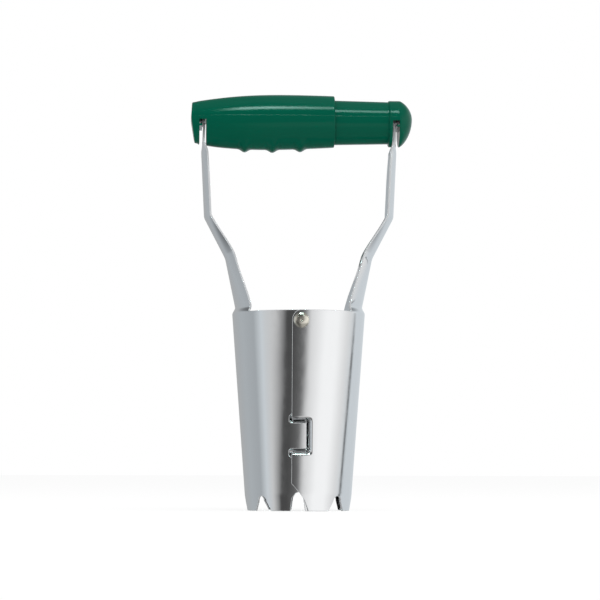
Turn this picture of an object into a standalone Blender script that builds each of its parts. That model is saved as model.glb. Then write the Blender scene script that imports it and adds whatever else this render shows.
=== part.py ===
"""Bulb planter: a toothed steel tube in two pivoting halves, opened by squeezing its sprung handle.

All sizes are in metres. +Z is up. The origin lies on the plane of the tooth tips, below the middle
of the overall length. Inside the root empty the tube's axis is the line X = 0, Y = 0, the handle runs
along X, and the two rivets that the halves turn on lie in front (-Y) and behind (+Y).
"""
import math

import bmesh
import bpy
from mathutils import Matrix, Vector

# Tube: two lapped half cones of sheet steel
TUBE_HEIGHT = 0.1081
TIP_RADIUS = 0.02855
RIM_RADIUS = 0.03645
SHEET = 0.0012
LAP_GAP = 0.0005
CRIMP_DEPTH = 0.0004
CRIMP_HEIGHT = 0.009
TIP_TRIM = 0.0006

# Seam: how far the outer and the inner layer pass the plane of the rivets
OVER_LAP = 0.0049
UNDER_LAP = 0.008

# Teeth
NOTCH_PITCH = math.radians(45)
NOTCH_DEPTH = 0.0081
NOTCH_MOUTH = 0.0116
NOTCH_CROWN = 0.006
SEAM_NOTCH_DEPTH = 0.0103
SEAM_NOTCH_MOUTH = 0.008
SEAM_NOTCH_CROWN = 0.0058
SEAM_NOTCH_SHIFT = 0.0013
OVER_MOUTH = 0.0044
OVER_SHOULDER = 0.0060
OVER_CORNER = 0.0148

# Pocket in the outer layer, and the tongue of the inner layer that lies in it
POCKET_BOTTOM = 0.03
POCKET_TOP = 0.0508
POCKET_WALL = 0.0026
POCKET_REACH = 0.0064
TONGUE_END_ROOM = 0.0007
TONGUE_LOW_ROOM = 0.001
TONGUE_HIGH_ROOM = 0.0009
SLIT_PEEK = 0.0013
SLIT_CORNER = 0.001
WINDOW_MARGIN = 0.0012

# Rivets
PIVOT_DROP = 0.0055
SHANK_RADIUS = 0.002
HEAD_RADIUS = 0.00425
HEAD_HEIGHT = 0.0019
TAIL_RADIUS = 0.0034
TAIL_HEIGHT = 0.0012
DIMPLE_RADIUS = 0.0007
DIMPLE_DEPTH = 0.0004
RIVET_PLAY = 0.0002
HEAD_GAP = 0.0003
TAIL_GAP = 0.0005

# Arms: each is one piece with its half of the tube
FOOT_ANGLE = math.radians(37.5)
NECK_RISE = 0.003
NECK_SET_IN = 0.0018
SHOULDER_DROP = 0.001
SHOULDER_SPREAD = math.radians(14)
RIM_FILLET = 0.001
LOW_KNEE_RISE = 0.03
LOW_KNEE_OUT = 0.0056
HIGH_KNEE_RISE = 0.0524
ARM_REACH = 0.05385
HIGH_KNEE_TUCK = 0.0017
BLADE_FOOT_TUCK = 0.0005
BLADE_TIP_TUCK = 0.001
UPPER_BEND_DROP = 0.0164
BLADE_FOOT_DROP = 0.0121
LIP_DROP = 0.0014
LIP_LENGTH = 0.0015
LOW_KNEE_ROUND = 0.012
HIGH_KNEE_ROUND = 0.0055
BLADE_ROUND = 0.003
LIP_ROUND = 0.0003
ARM_HALF_WIDTH = 0.0105
BLADE_HALF_WIDTH = 0.007
LOWER_GUTTER = 0.0052
UPPER_GUTTER = 0.0032
GUTTER_FADE_DROP = 0.024
GUTTER_END_DROP = 0.0099
ROW_PITCH = 0.006

# Handle: outer grip on the left arm, inner grip on the right arm, spring between them
HANDLE_RISE = 0.1049
GRIP_END_WALL = 0.0046
GRIP_LENGTH = 0.079
GRIP_END_RADIUS = 0.0112
GRIP_BELLY_RADIUS = 0.0152
GRIP_MOUTH_RADIUS = 0.01425
BELLY_SHARE = 0.58
END_CURVE_SHARE = 2.2
MOUTH_CURVE_SHARE = 1.6
MOUTH_LIFT = 0.001
LIFT_START = 0.045
GRIP_EDGE = 0.0008
END_DRAFT_SHARE = 0.15
TOP_DRAFT_SHARE = 0.06
PARTING_RISE = 0.0018
RIDGE_SPACING = 0.0154
RIDGE_OFFSET = 0.0146
RIDGE_WIDTH = 0.0076
RIDGE_HEIGHT = 0.0016
RIDGE_SPREAD = math.radians(50)
SLIDE_GAP = 0.0004
SLEEVE_LIFT = 0.0005
SLEEVE_RADIUS = 0.0123
SLEEVE_NECK_RADIUS = 0.01165
SLEEVE_OVERLAP = 0.032
SLEEVE_WALL = 0.002
COLLAR_RADIUS = 0.0128
COLLAR_STEP_ROUND = 0.0008
COLLAR_INNER_WALL = 0.002
COLLAR_RIM = 0.0006
DOME_HEIGHT = 0.007
DOME_CURVE_SHARE = 1.9
CAP_WALL = 0.0025
BORE_END_WALL = 0.0095
SLOT_TILT_ROOM = 0.0021
SLOT_SEAT_GAP = 0.0004
SLOT_ROOF_ROOM = 0.0006
LIP_SIDE_ROOM = 0.0006
NIB_HEIGHT = 0.0013
SPRING_WIRE = 0.0016
SPRING_OUTER_RADIUS = 0.0092
SPRING_SEAT_GAP = 0.0003
SPRING_TURNS = 13

# Fineness of the round and curved forms
HANDLE_SIDES = 32
RIVET_SIDES = 20
CURL_POINTS = 9
ARC_STEP = math.radians(16)
CUT_OVERRUN = 0.003
WELD = 0.000001

# Places worked out from the sizes above
PIVOT_HEIGHT = TUBE_HEIGHT - PIVOT_DROP
HANDLE_HEIGHT = TUBE_HEIGHT + HANDLE_RISE
LAYER_STEP = SHEET + LAP_GAP
HALF_OFFSET = LAYER_STEP / 2
POCKET_DEPTH = LAYER_STEP * 2
BLADE_REACH = ARM_REACH - BLADE_TIP_TUCK
LIP_HEIGHT = HANDLE_HEIGHT - LIP_DROP
SLOT_INNER = BLADE_REACH - SHEET - SLOT_SEAT_GAP
SLOT_OUTER = BLADE_REACH + SLOT_TILT_ROOM
GRIP_END = SLOT_OUTER + GRIP_END_WALL
GRIP_MOUTH = GRIP_LENGTH - GRIP_END
COLLAR_START = SLOT_INNER - COLLAR_INNER_WALL
COLLAR_EDGE = SLOT_OUTER + COLLAR_RIM
COLLAR_END = COLLAR_EDGE + DOME_HEIGHT
TIP_HINGE_REACH = BLADE_REACH + LIP_SIDE_ROOM
MIDDLE_SHIFT = (COLLAR_END - GRIP_END) / 2

STEEL = ("zinc_plated_steel", (0.62, 0.64, 0.65), 0.24, 1.0)
RIVET_STEEL = ("nickel_plated_rivet", (0.66, 0.63, 0.55), 0.2, 1.0)
GREEN_PLASTIC = ("green_gloss_plastic", (0.0, 0.085, 0.052), 0.28, 0.0)
SPRING_STEEL = ("spring_steel", (0.35, 0.35, 0.36), 0.35, 1.0)


def clear_scene():
    """Start from an empty scene."""
    for item in list(bpy.data.objects):
        bpy.data.objects.remove(item, do_unlink=True)


def finish_of(named_finish):
    """Make the Principled material of a named finish."""
    name, colour, roughness, metallic = named_finish
    material = bpy.data.materials.new(name)
    material.use_nodes = True
    shader = material.node_tree.nodes["Principled BSDF"]
    shader.inputs["Base Color"].default_value = (*colour, 1.0)
    shader.inputs["Roughness"].default_value = roughness
    shader.inputs["Metallic"].default_value = metallic
    return material


def blend(start, end, share):
    """Value a share of the way from start to end."""
    return start + (end - start) * share


def ease(share):
    """Smooth step from 0 to 1 with level ends."""
    share = min(max(share, 0.0), 1.0)
    return share * share * (3 - 2 * share)


def mesh_from(shape, name):
    """Turn a bmesh into a mesh with smooth faces and sharp edges kept."""
    mesh = bpy.data.meshes.new(name)
    shape.to_mesh(mesh)
    shape.free()
    mesh.shade_smooth()
    mesh.set_sharp_from_angle(angle=math.radians(35))
    return mesh


def add_object(name, mesh, parent=None, place=(0.0, 0.0, 0.0), turn=(0.0, 0.0, 0.0)):
    """Put a mesh into the scene under its name."""
    item = bpy.data.objects.new(name, mesh)
    bpy.context.collection.objects.link(item)
    item.location = place
    item.rotation_euler = turn
    item.parent = parent
    return item


def prism(shape, outline, front, back, placing=None):
    """Add a closed prism whose outline of (x, z) points runs from y = front to y = back."""
    corners = [shape.verts.new((x, front, z)) for x, z in outline]
    face = shape.faces.new(corners)
    grown = bmesh.ops.extrude_face_region(shape, geom=[face])["geom"]
    moved = [item for item in grown if isinstance(item, bmesh.types.BMVert)]
    bmesh.ops.translate(shape, verts=moved, vec=(0.0, back - front, 0.0))
    if placing:
        bmesh.ops.transform(shape, matrix=placing, verts=corners + moved)


def cut(item, cutters):
    """Subtract a bmesh of closed cutters from an object, and give back the cut object's mesh."""
    bmesh.ops.recalc_face_normals(cutters, faces=cutters.faces)
    tool = add_object("cutter", mesh_from(cutters, "cutter"))
    difference = item.modifiers.new("cut", "BOOLEAN")
    difference.operation = "DIFFERENCE"
    difference.solver = "EXACT"
    difference.object = tool
    mesh = finished_mesh(item)
    bpy.data.objects.remove(tool, do_unlink=True)
    bpy.data.objects.remove(item, do_unlink=True)
    return mesh


def finished_mesh(item):
    """Mesh of an object with its modifiers applied."""
    graph = bpy.context.evaluated_depsgraph_get()
    mesh = bpy.data.meshes.new_from_object(item.evaluated_get(graph), depsgraph=graph)
    shape = bmesh.new()
    shape.from_mesh(mesh)
    bmesh.ops.remove_doubles(shape, verts=shape.verts, dist=WELD)
    bmesh.ops.dissolve_degenerate(shape, edges=shape.edges, dist=WELD)
    shape.to_mesh(mesh)
    shape.free()
    mesh.shade_smooth()
    mesh.set_sharp_from_angle(angle=math.radians(35))
    return mesh


def lathe(profile, sides):
    """Closed solid turned about the X axis from (x, radius) points that start and end on the axis."""
    shape = bmesh.new()
    line = [shape.verts.new((x, 0.0, radius)) for x, radius in profile]
    edges = [shape.edges.new(pair) for pair in zip(line, line[1:])]
    bmesh.ops.spin(shape, geom=line + edges, cent=(0, 0, 0), axis=(1, 0, 0),
                   angle=math.tau, steps=sides, use_merge=True)
    bmesh.ops.remove_doubles(shape, verts=shape.verts, dist=WELD)
    bmesh.ops.recalc_face_normals(shape, faces=shape.faces)
    return shape


def rounded_path(corners, rounds):
    """Points of a path of (reach, height) corners whose inner corners are rounded by arcs."""
    points = [Vector(corners[0])]
    for before, corner, after, radius in zip(corners, corners[1:], corners[2:], rounds):
        corner = Vector(corner)
        back = (Vector(before) - corner).normalized()
        ahead = (Vector(after) - corner).normalized()
        turn = math.pi - back.angle(ahead)
        cut_back = radius * math.tan(turn / 2)
        centre = corner + (back + ahead).normalized() * (radius / math.cos(turn / 2))
        start = corner + back * cut_back - centre
        end = corner + ahead * cut_back - centre
        steps = max(2, math.ceil(turn / ARC_STEP))
        for step in range(steps + 1):
            share = step / steps
            spoke = start * math.sin((1 - share) * turn) + end * math.sin(share * turn)
            points.append(centre + spoke / math.sin(turn))
    points.append(Vector(corners[-1]))
    return points


def tube_radius(height):
    """Outer radius of the tube, drawn in a little at the teeth."""
    cone = blend(TIP_RADIUS, RIM_RADIUS, height / TUBE_HEIGHT)
    return cone - CRIMP_DEPTH * ease(1 - height / CRIMP_HEIGHT)


def shoulder_set_in(height):
    """How far the sheet is set in where the arm's neck leaves the tube."""
    start = TUBE_HEIGHT - SHOULDER_DROP
    return NECK_SET_IN * ease((height - start) / (NECK_RISE + SHOULDER_DROP))


def wall_radius(angle, height):
    """Outer radius of a half at an angle from its arm, with the shoulder fading out beside the arm."""
    fade = 1 - ease((abs(angle) - FOOT_ANGLE) / SHOULDER_SPREAD)
    return tube_radius(height) - shoulder_set_in(height) * fade


def pocket_depth(past_seam, height):
    """How far the pocket presses the outer layer in, past_seam being positive beyond the rivet plane."""
    side = ease((past_seam + POCKET_REACH) / POCKET_WALL)
    low = ease((height - POCKET_BOTTOM) / POCKET_WALL)
    high = ease((POCKET_TOP - height) / POCKET_WALL)
    return POCKET_DEPTH * side * min(low, high)


def ramp_places(start, end):
    """Four places down a pressed wall, from one end to the other."""
    return [blend(start, end, step / 3) for step in range(4)]


def wing_columns(seam_places):
    """Columns of one wing, from its seam edge to the arm: each gives angle and past_seam at a height."""
    columns = []
    for place in seam_places:
        columns.append(lambda height, p=place: math.pi / 2 + math.asin(p / tube_radius(height)))
    inner = columns[-1]
    fillet = [RIM_FILLET * (1 - math.cos(step * math.pi / 6)) for step in (3, 2, 0)]
    outermost = FOOT_ANGLE + RIM_FILLET / RIM_RADIUS
    for step in range(1, 5):
        columns.append(lambda height, s=step / 5: blend(inner(height), outermost, s))
    for distance in fillet[:-1]:
        columns.append(lambda height, d=distance: FOOT_ANGLE + d / RIM_RADIUS)
    return columns


def rim_height(angle, lap):
    """Height of a wing's top edge: a fillet beside the arm, level, then round about the rivet."""
    from_arm = (angle - FOOT_ANGLE) * RIM_RADIUS
    past_seam = RIM_RADIUS * math.sin(angle - math.pi / 2)
    if from_arm < RIM_FILLET:
        drop = math.sqrt(RIM_FILLET ** 2 - (RIM_FILLET - from_arm) ** 2)
        return TUBE_HEIGHT + RIM_FILLET - drop
    if past_seam > 0:
        return PIVOT_HEIGHT + PIVOT_DROP * math.sqrt(max(0.0, 1 - (past_seam / lap) ** 2))
    return TUBE_HEIGHT


def shell_heights():
    """Heights of the rows that run right across a half, below its shoulder."""
    low_wall = ramp_places(POCKET_BOTTOM, POCKET_BOTTOM + POCKET_WALL)
    high_wall = ramp_places(POCKET_TOP - POCKET_WALL, POCKET_TOP)
    top = PIVOT_HEIGHT - HEAD_RADIUS * 2
    middle = blend(POCKET_TOP, top, 0.5)
    return [-TIP_TRIM, CRIMP_HEIGHT / 2, CRIMP_HEIGHT, *low_wall, *high_wall, middle, top]


def arm_rows():
    """Rows of the arm above its neck: path point, outward direction, half width and gutter depth."""
    neck = TUBE_HEIGHT + NECK_RISE
    neck_reach = wall_radius(0.0, neck)
    corners = [
        (neck_reach, neck),
        (neck_reach + LOW_KNEE_OUT, TUBE_HEIGHT + LOW_KNEE_RISE),
        (ARM_REACH - HIGH_KNEE_TUCK, TUBE_HEIGHT + HIGH_KNEE_RISE),
        (ARM_REACH, HANDLE_HEIGHT - UPPER_BEND_DROP),
        (ARM_REACH - BLADE_FOOT_TUCK, HANDLE_HEIGHT - BLADE_FOOT_DROP),
        (BLADE_REACH, LIP_HEIGHT),
        (BLADE_REACH + LIP_LENGTH, LIP_HEIGHT + LIP_ROUND),
    ]
    rounds = [LOW_KNEE_ROUND, HIGH_KNEE_ROUND, BLADE_ROUND, BLADE_ROUND, LIP_ROUND]
    points = rounded_path(corners, rounds)
    path = [points[0]]
    for point in points[1:]:
        gap = (point - path[-1]).length
        pieces = max(1, math.ceil(gap / ROW_PITCH))
        path += [path[-1].lerp(point, step / pieces) for step in range(1, pieces + 1)]
    rows = []
    for index, point in enumerate(path[1:], start=1):
        ahead = path[min(index + 1, len(path) - 1)] - path[index - 1]
        ahead.normalize()
        outward = Vector((ahead.y, -ahead.x))
        rows.append((point, outward, arm_half_width(point.y), gutter_depth(point.y)))
    return rows


def arm_half_width(height):
    """Half width of the arm: it narrows from the neck to the low knee, and again to the blade."""
    neck = TUBE_HEIGHT + NECK_RISE
    foot = wall_radius(0.0, neck) * math.sin(FOOT_ANGLE)
    knee = TUBE_HEIGHT + LOW_KNEE_RISE
    taper_start = HANDLE_HEIGHT - UPPER_BEND_DROP * 2
    blade = HANDLE_HEIGHT - BLADE_FOOT_DROP
    width = blend(foot, ARM_HALF_WIDTH, ease((height - neck) / (knee - neck)))
    return blend(width, BLADE_HALF_WIDTH, ease((height - taper_start) / (blade - taper_start)))


def gutter_depth(height):
    """Depth of the arm's gutter section: deep at the neck, shallow above the knees, flat in the slot."""
    neck = TUBE_HEIGHT + NECK_RISE
    foot = wall_radius(0.0, neck) * (1 - math.cos(FOOT_ANGLE))
    low_knee = TUBE_HEIGHT + LOW_KNEE_RISE
    high_knee = TUBE_HEIGHT + HIGH_KNEE_RISE
    fade = HANDLE_HEIGHT - GUTTER_FADE_DROP
    flat = HANDLE_HEIGHT - GUTTER_END_DROP
    depth = blend(foot, LOWER_GUTTER, ease((height - neck) / (low_knee - neck)))
    depth = blend(depth, UPPER_GUTTER, ease((height - low_knee) / (high_knee - low_knee)))
    return blend(depth, 0.0, ease((height - fade) / (flat - fade)))


def half_surface():
    """Outer face of one half: tube wall, pocket and arm as one sheet, its arm towards +X."""
    over_shares = (1.0, 0.9, 0.6, 0.2, -0.3)
    under_shares = (1.0, 0.93, 0.75, 0.4, 0.0, -0.5)
    over_places = [OVER_LAP * share for share in over_shares]
    over_places += ramp_places(POCKET_WALL - POCKET_REACH, -POCKET_REACH)
    under_places = [UNDER_LAP * share for share in under_shares]
    over_columns = wing_columns(over_places)
    under_columns = wing_columns(under_places)
    strip_angles = [blend(-FOOT_ANGLE, FOOT_ANGLE, step / 8) for step in range(9)]
    shape = bmesh.new()

    def wing_point(angle, side, height):
        past_seam = tube_radius(height) * math.sin(angle - math.pi / 2)
        radius = wall_radius(angle, height)
        if side < 0:
            radius -= pocket_depth(past_seam, height)
        return Vector((radius * math.cos(angle), side * radius * math.sin(angle), height))

    def strip_point(angle, height):
        radius = wall_radius(angle, height)
        return Vector((radius * math.cos(angle), radius * math.sin(angle), height))

    def row_at(base, share=0.0):
        """One row of vertices, a share of the way from a base height to the rim."""
        row = []
        for column in over_columns:
            level = blend(base, rim_height(column(TUBE_HEIGHT), OVER_LAP), share)
            row.append(shape.verts.new(wing_point(column(level), -1, level)))
        for angle in strip_angles:
            level = blend(base, TUBE_HEIGHT + RIM_FILLET, share)
            row.append(shape.verts.new(strip_point(angle, level)))
        for column in reversed(under_columns):
            level = blend(base, rim_height(column(TUBE_HEIGHT), UNDER_LAP), share)
            row.append(shape.verts.new(wing_point(column(level), 1, level)))
        return row

    rows = [row_at(height) for height in shell_heights()]
    base = shell_heights()[-1]
    shoulder = (TUBE_HEIGHT - SHOULDER_DROP - base) / (TUBE_HEIGHT + RIM_FILLET - base)
    rows += [row_at(base, shoulder), row_at(base, 1.0)]
    for lower, upper in zip(rows, rows[1:]):
        for column in range(len(lower) - 1):
            shape.faces.new((lower[column], lower[column + 1], upper[column + 1], upper[column]))

    first = len(over_columns)
    below = rows[-1][first:first + len(strip_angles)]
    upper_rows = []
    for share in (0.5, 1.0):
        height = blend(TUBE_HEIGHT + RIM_FILLET, TUBE_HEIGHT + NECK_RISE, share)
        upper_rows.append([strip_point(angle, height) for angle in strip_angles])
    for point, outward, half_width, depth in arm_rows():
        row = []
        for angle in strip_angles:
            sag = depth * (1 - math.cos(angle)) / (1 - math.cos(FOOT_ANGLE))
            side = half_width * math.sin(angle) / math.sin(FOOT_ANGLE)
            row.append(Vector((point.x - outward.x * sag, side, point.y - outward.y * sag)))
        upper_rows.append(row)
    for points in upper_rows:
        above = [shape.verts.new(point) for point in points]
        for column in range(len(above) - 1):
            shape.faces.new((below[column], below[column + 1], above[column + 1], above[column]))
        below = above
    return shape


def notch_outline(depth, mouth, crown):
    """Notch between two teeth: straight flanks below a round crown, open downwards."""
    flank = depth - crown / 2
    outline = [(-mouth / 2, -CUT_OVERRUN), (-mouth / 2, 0.0)]
    for step in range(7):
        angle = math.pi - step * math.pi / 6
        outline.append((crown / 2 * math.cos(angle), flank + crown / 2 * math.sin(angle)))
    outline += [(mouth / 2, 0.0), (mouth / 2, -CUT_OVERRUN)]
    return outline


def add_tooth_cutters(shape):
    """Cutters of the notches of one half: whole ones, and one in each layer at the seam."""
    outline = notch_outline(NOTCH_DEPTH, NOTCH_MOUTH, NOTCH_CROWN)
    near = TIP_RADIUS - CUT_OVERRUN - SHEET
    far = RIM_RADIUS
    for step in (-1, 0, 1):
        turn = Matrix.Rotation(math.pi / 2 + step * NOTCH_PITCH, 4, "Z")
        prism(shape, outline, -far, -near, turn)
    low = -CUT_OVERRUN
    beyond = -OVER_LAP - CUT_OVERRUN
    over = [(OVER_MOUTH, low), (OVER_MOUTH, 0.0), (OVER_MOUTH / 2, OVER_SHOULDER),
            (-OVER_LAP / 5, SEAM_NOTCH_DEPTH), (-OVER_LAP, OVER_CORNER), (beyond, OVER_CORNER), (beyond, low)]
    prism(shape, over, -far, -near)
    under = notch_outline(SEAM_NOTCH_DEPTH, SEAM_NOTCH_MOUTH, SEAM_NOTCH_CROWN)
    placing = Matrix.Translation((SEAM_NOTCH_SHIFT, 0.0, 0.0))
    prism(shape, under, near, far, placing)


def add_window_cutter(shape):
    """Cutter that frees the tongue of the inner layer: a C-shaped window open to the wing's edge."""
    low = POCKET_BOTTOM - WINDOW_MARGIN
    high = POCKET_TOP + WINDOW_MARGIN
    tongue_low = POCKET_BOTTOM + POCKET_WALL + TONGUE_LOW_ROOM
    tongue_high = POCKET_TOP - POCKET_WALL - TONGUE_HIGH_ROOM
    tip = -(POCKET_REACH - POCKET_WALL - TONGUE_END_ROOM)
    root = OVER_LAP + SLIT_PEEK
    edge = -UNDER_LAP - CUT_OVERRUN
    outline = [(edge, low), (root - SLIT_CORNER, low), (root, low + SLIT_CORNER),
               (root, tongue_low - SLIT_CORNER), (root - SLIT_CORNER, tongue_low), (tip, tongue_low),
               (tip, tongue_high), (root - SLIT_CORNER, tongue_high), (root, tongue_high + SLIT_CORNER),
               (root, high - SLIT_CORNER), (root - SLIT_CORNER, high), (edge, high)]
    prism(shape, outline, TIP_RADIUS / 2, RIM_RADIUS + CUT_OVERRUN)


def add_rivet_holes(shape):
    """Cutters of the rivet holes, square to the sheet in front and behind."""
    for side in (-1, 1):
        tool = bmesh.ops.create_cone(shape, cap_ends=True, segments=RIVET_SIDES, depth=TIP_RADIUS,
                                     radius1=SHANK_RADIUS + RIVET_PLAY, radius2=SHANK_RADIUS + RIVET_PLAY)
        bmesh.ops.transform(shape, matrix=rivet_placing(side), verts=tool["verts"])


def cone_tilt():
    """Angle of the tube's wall to its axis."""
    return math.atan((RIM_RADIUS - TIP_RADIUS) / TUBE_HEIGHT)


def rivet_placing(side):
    """Placing of a rivet whose own +Z points out of the tube, in front (-1) or behind (1)."""
    middle = Vector((0.0, side * (tube_radius(PIVOT_HEIGHT) - SHEET), PIVOT_HEIGHT))
    lean = Matrix.Rotation(-side * (math.pi / 2 + cone_tilt()), 4, "X")
    return Matrix.Translation(middle) @ lean


def half_mesh():
    """Pressing of one half, with its arm towards +X and its outer layer in front."""
    blank = add_object("blank", mesh_from(half_surface(), "blank"))
    skin = blank.modifiers.new("thickness", "SOLIDIFY")
    skin.thickness = SHEET
    skin.offset = -1.0
    cutters = bmesh.new()
    add_tooth_cutters(cutters)
    add_window_cutter(cutters)
    add_rivet_holes(cutters)
    toothed = add_object("toothed", cut(blank, cutters))
    trimmer = bmesh.new()
    low = -CUT_OVERRUN
    below = [(-RIM_RADIUS, low), (RIM_RADIUS, low), (RIM_RADIUS, 0.0), (-RIM_RADIUS, 0.0)]
    prism(trimmer, below, -RIM_RADIUS, RIM_RADIUS)
    mesh = cut(toothed, trimmer)
    mesh.transform(Matrix.Translation((0.0, -HALF_OFFSET, -PIVOT_HEIGHT)))
    return mesh


def add_halves(root, steel):
    """The two halves: the same pressing, the left one turned half a turn."""
    mesh = half_mesh()
    mesh.materials.clear()
    mesh.materials.append(steel)
    place = (0.0, 0.0, PIVOT_HEIGHT)
    add_object("right_half_shell", mesh, root, place)
    add_object("left_half_shell", mesh, root, place, (0.0, 0.0, math.pi))


def rivet_mesh():
    """Domed rivet along its own Z, with the sheets' middle at its origin."""
    head_base = SHEET + HALF_OFFSET + HEAD_GAP
    tail_base = head_base - SHEET - LAYER_STEP - HEAD_GAP - TAIL_GAP
    profile = [(head_base + HEAD_HEIGHT - DIMPLE_DEPTH, 0.0), (head_base + HEAD_HEIGHT, DIMPLE_RADIUS)]
    for step in range(1, 6):
        angle = math.pi / 2 - step * math.pi / 10
        rise = HEAD_HEIGHT * math.sin(angle)
        profile.append((head_base + rise, blend(DIMPLE_RADIUS, HEAD_RADIUS, math.cos(angle))))
    profile += [(head_base, SHANK_RADIUS), (tail_base, SHANK_RADIUS), (tail_base, TAIL_RADIUS)]
    for step in range(1, 4):
        angle = step * math.pi / 6
        profile.append((tail_base - TAIL_HEIGHT * math.sin(angle), TAIL_RADIUS * math.cos(angle)))
    profile[-1] = (profile[-1][0], 0.0)
    shape = lathe(profile, RIVET_SIDES)
    bmesh.ops.transform(shape, matrix=Matrix.Rotation(-math.pi / 2, 4, "Y"), verts=shape.verts)
    return mesh_from(shape, "rivet")


def add_rivets(root, steel):
    """The front and the back rivet, which the halves turn on."""
    mesh = rivet_mesh()
    mesh.materials.append(steel)
    for name, side in (("front_rivet", -1), ("back_rivet", 1)):
        placing = rivet_placing(side)
        add_object(name, mesh, root, placing.to_translation(), placing.to_euler())


def slot_outline(direction):
    """Section of a handle slot: seat wall, roof, room for the blade's lip, nib and tilting room."""
    below = HANDLE_HEIGHT - GRIP_BELLY_RADIUS - CUT_OVERRUN
    roof = LIP_HEIGHT + LIP_ROUND + SHEET + SLOT_ROOF_ROOM
    nib_top = LIP_HEIGHT - LIP_SIDE_ROOM / 2
    nib = BLADE_REACH + LIP_SIDE_ROOM
    outline = [(SLOT_INNER, below), (SLOT_INNER, roof), (SLOT_OUTER, roof), (SLOT_OUTER, nib_top),
               (nib, nib_top), (nib, nib_top - NIB_HEIGHT), (SLOT_OUTER, nib_top - NIB_HEIGHT),
               (SLOT_OUTER, below)]
    return [(direction * reach, height) for reach, height in outline]


def cut_slot(shape, name, direction):
    """Cut the arm's slot through a grip, and put the mesh's origin on the tip hinge."""
    item = add_object(name, mesh_from(shape, name))
    cutters = bmesh.new()
    prism(cutters, slot_outline(direction), -GRIP_BELLY_RADIUS * 2, GRIP_BELLY_RADIUS * 2)
    mesh = cut(item, cutters)
    mesh.transform(Matrix.Translation((-direction * TIP_HINGE_REACH, 0.0, -LIP_HEIGHT)))
    return mesh


def grip_radius(place):
    """Outer radius of the outer grip: a long belly that narrows more towards its closed end."""
    belly = -GRIP_END + GRIP_LENGTH * BELLY_SHARE
    if place < belly:
        share = (belly - place) / (belly + GRIP_END)
        return GRIP_BELLY_RADIUS - (GRIP_BELLY_RADIUS - GRIP_END_RADIUS) * share ** END_CURVE_SHARE
    share = (place - belly) / (GRIP_MOUTH - belly)
    return GRIP_BELLY_RADIUS - (GRIP_BELLY_RADIUS - GRIP_MOUTH_RADIUS) * share ** MOUTH_CURVE_SHARE


def ridge_height(place, angle_from_bottom):
    """Rise of the three finger ridges under the grip."""
    rise = 0.0
    for step in (-1, 0, 1):
        centre = -RIDGE_OFFSET + step * RIDGE_SPACING
        rise += ease(1 - abs(place - centre) * 2 / RIDGE_WIDTH)
    return RIDGE_HEIGHT * rise * ease(2 - abs(angle_from_bottom) * 2 / RIDGE_SPREAD)


def barrel_lift(place):
    """How far the barrel's outside is lifted: more towards its mouth, where the sleeve is lifted too."""
    return MOUTH_LIFT * max(0.0, place + LIFT_START) / (GRIP_MOUTH + LIFT_START)


def outer_grip_mesh():
    """Outer grip: barrel with finger ridges, closed left end, bore open to the right."""
    bore = SLEEVE_RADIUS + SLIDE_GAP
    bore_end = -SLOT_INNER + BORE_END_WALL
    ridge_shares = (-0.5, -0.25, 0.0, 0.25, 0.5)
    ahead_shares = (0.03, 0.08, 0.14, 0.21, 0.28)
    behind_share = 0.9
    ridges = [-RIDGE_OFFSET + step * RIDGE_SPACING + RIDGE_WIDTH * share
              for step in (-1, 0, 1) for share in ridge_shares]
    ahead = [-GRIP_END + GRIP_LENGTH * share for share in ahead_shares]
    behind = [-GRIP_END + GRIP_LENGTH * behind_share]
    profile = [(-GRIP_END, 0.0), (-GRIP_END, grip_radius(-GRIP_END) - GRIP_EDGE)]
    profile += [(place, grip_radius(place)) for place in (ahead + ridges + behind)]
    profile += [(GRIP_MOUTH - GRIP_EDGE, GRIP_MOUTH_RADIUS), (GRIP_MOUTH, GRIP_MOUTH_RADIUS - GRIP_EDGE),
                (GRIP_MOUTH, bore), (bore_end, bore - SLIDE_GAP), (bore_end, 0.0)]
    shape = lathe(profile, HANDLE_SIDES)
    for corner in shape.verts:
        radius = math.hypot(corner.co.y, corner.co.z)
        if corner.co.x < -SLOT_OUTER:
            fall = max(0.0, PARTING_RISE - corner.co.z) * END_DRAFT_SHARE
            rise = max(0.0, corner.co.z - PARTING_RISE) * TOP_DRAFT_SHARE
            corner.co.x += fall + rise
        elif radius < bore + WELD and corner.co.x > bore_end - WELD:
            corner.co.z += SLEEVE_LIFT
        else:
            angle = math.atan2(corner.co.y, -corner.co.z)
            grown = 1 + ridge_height(corner.co.x, angle) / radius
            corner.co.y *= grown
            corner.co.z = corner.co.z * grown + barrel_lift(corner.co.x)
    bmesh.ops.translate(shape, verts=shape.verts, vec=(0.0, 0.0, HANDLE_HEIGHT))
    return cut_slot(shape, "outer_grip", -1)


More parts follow.
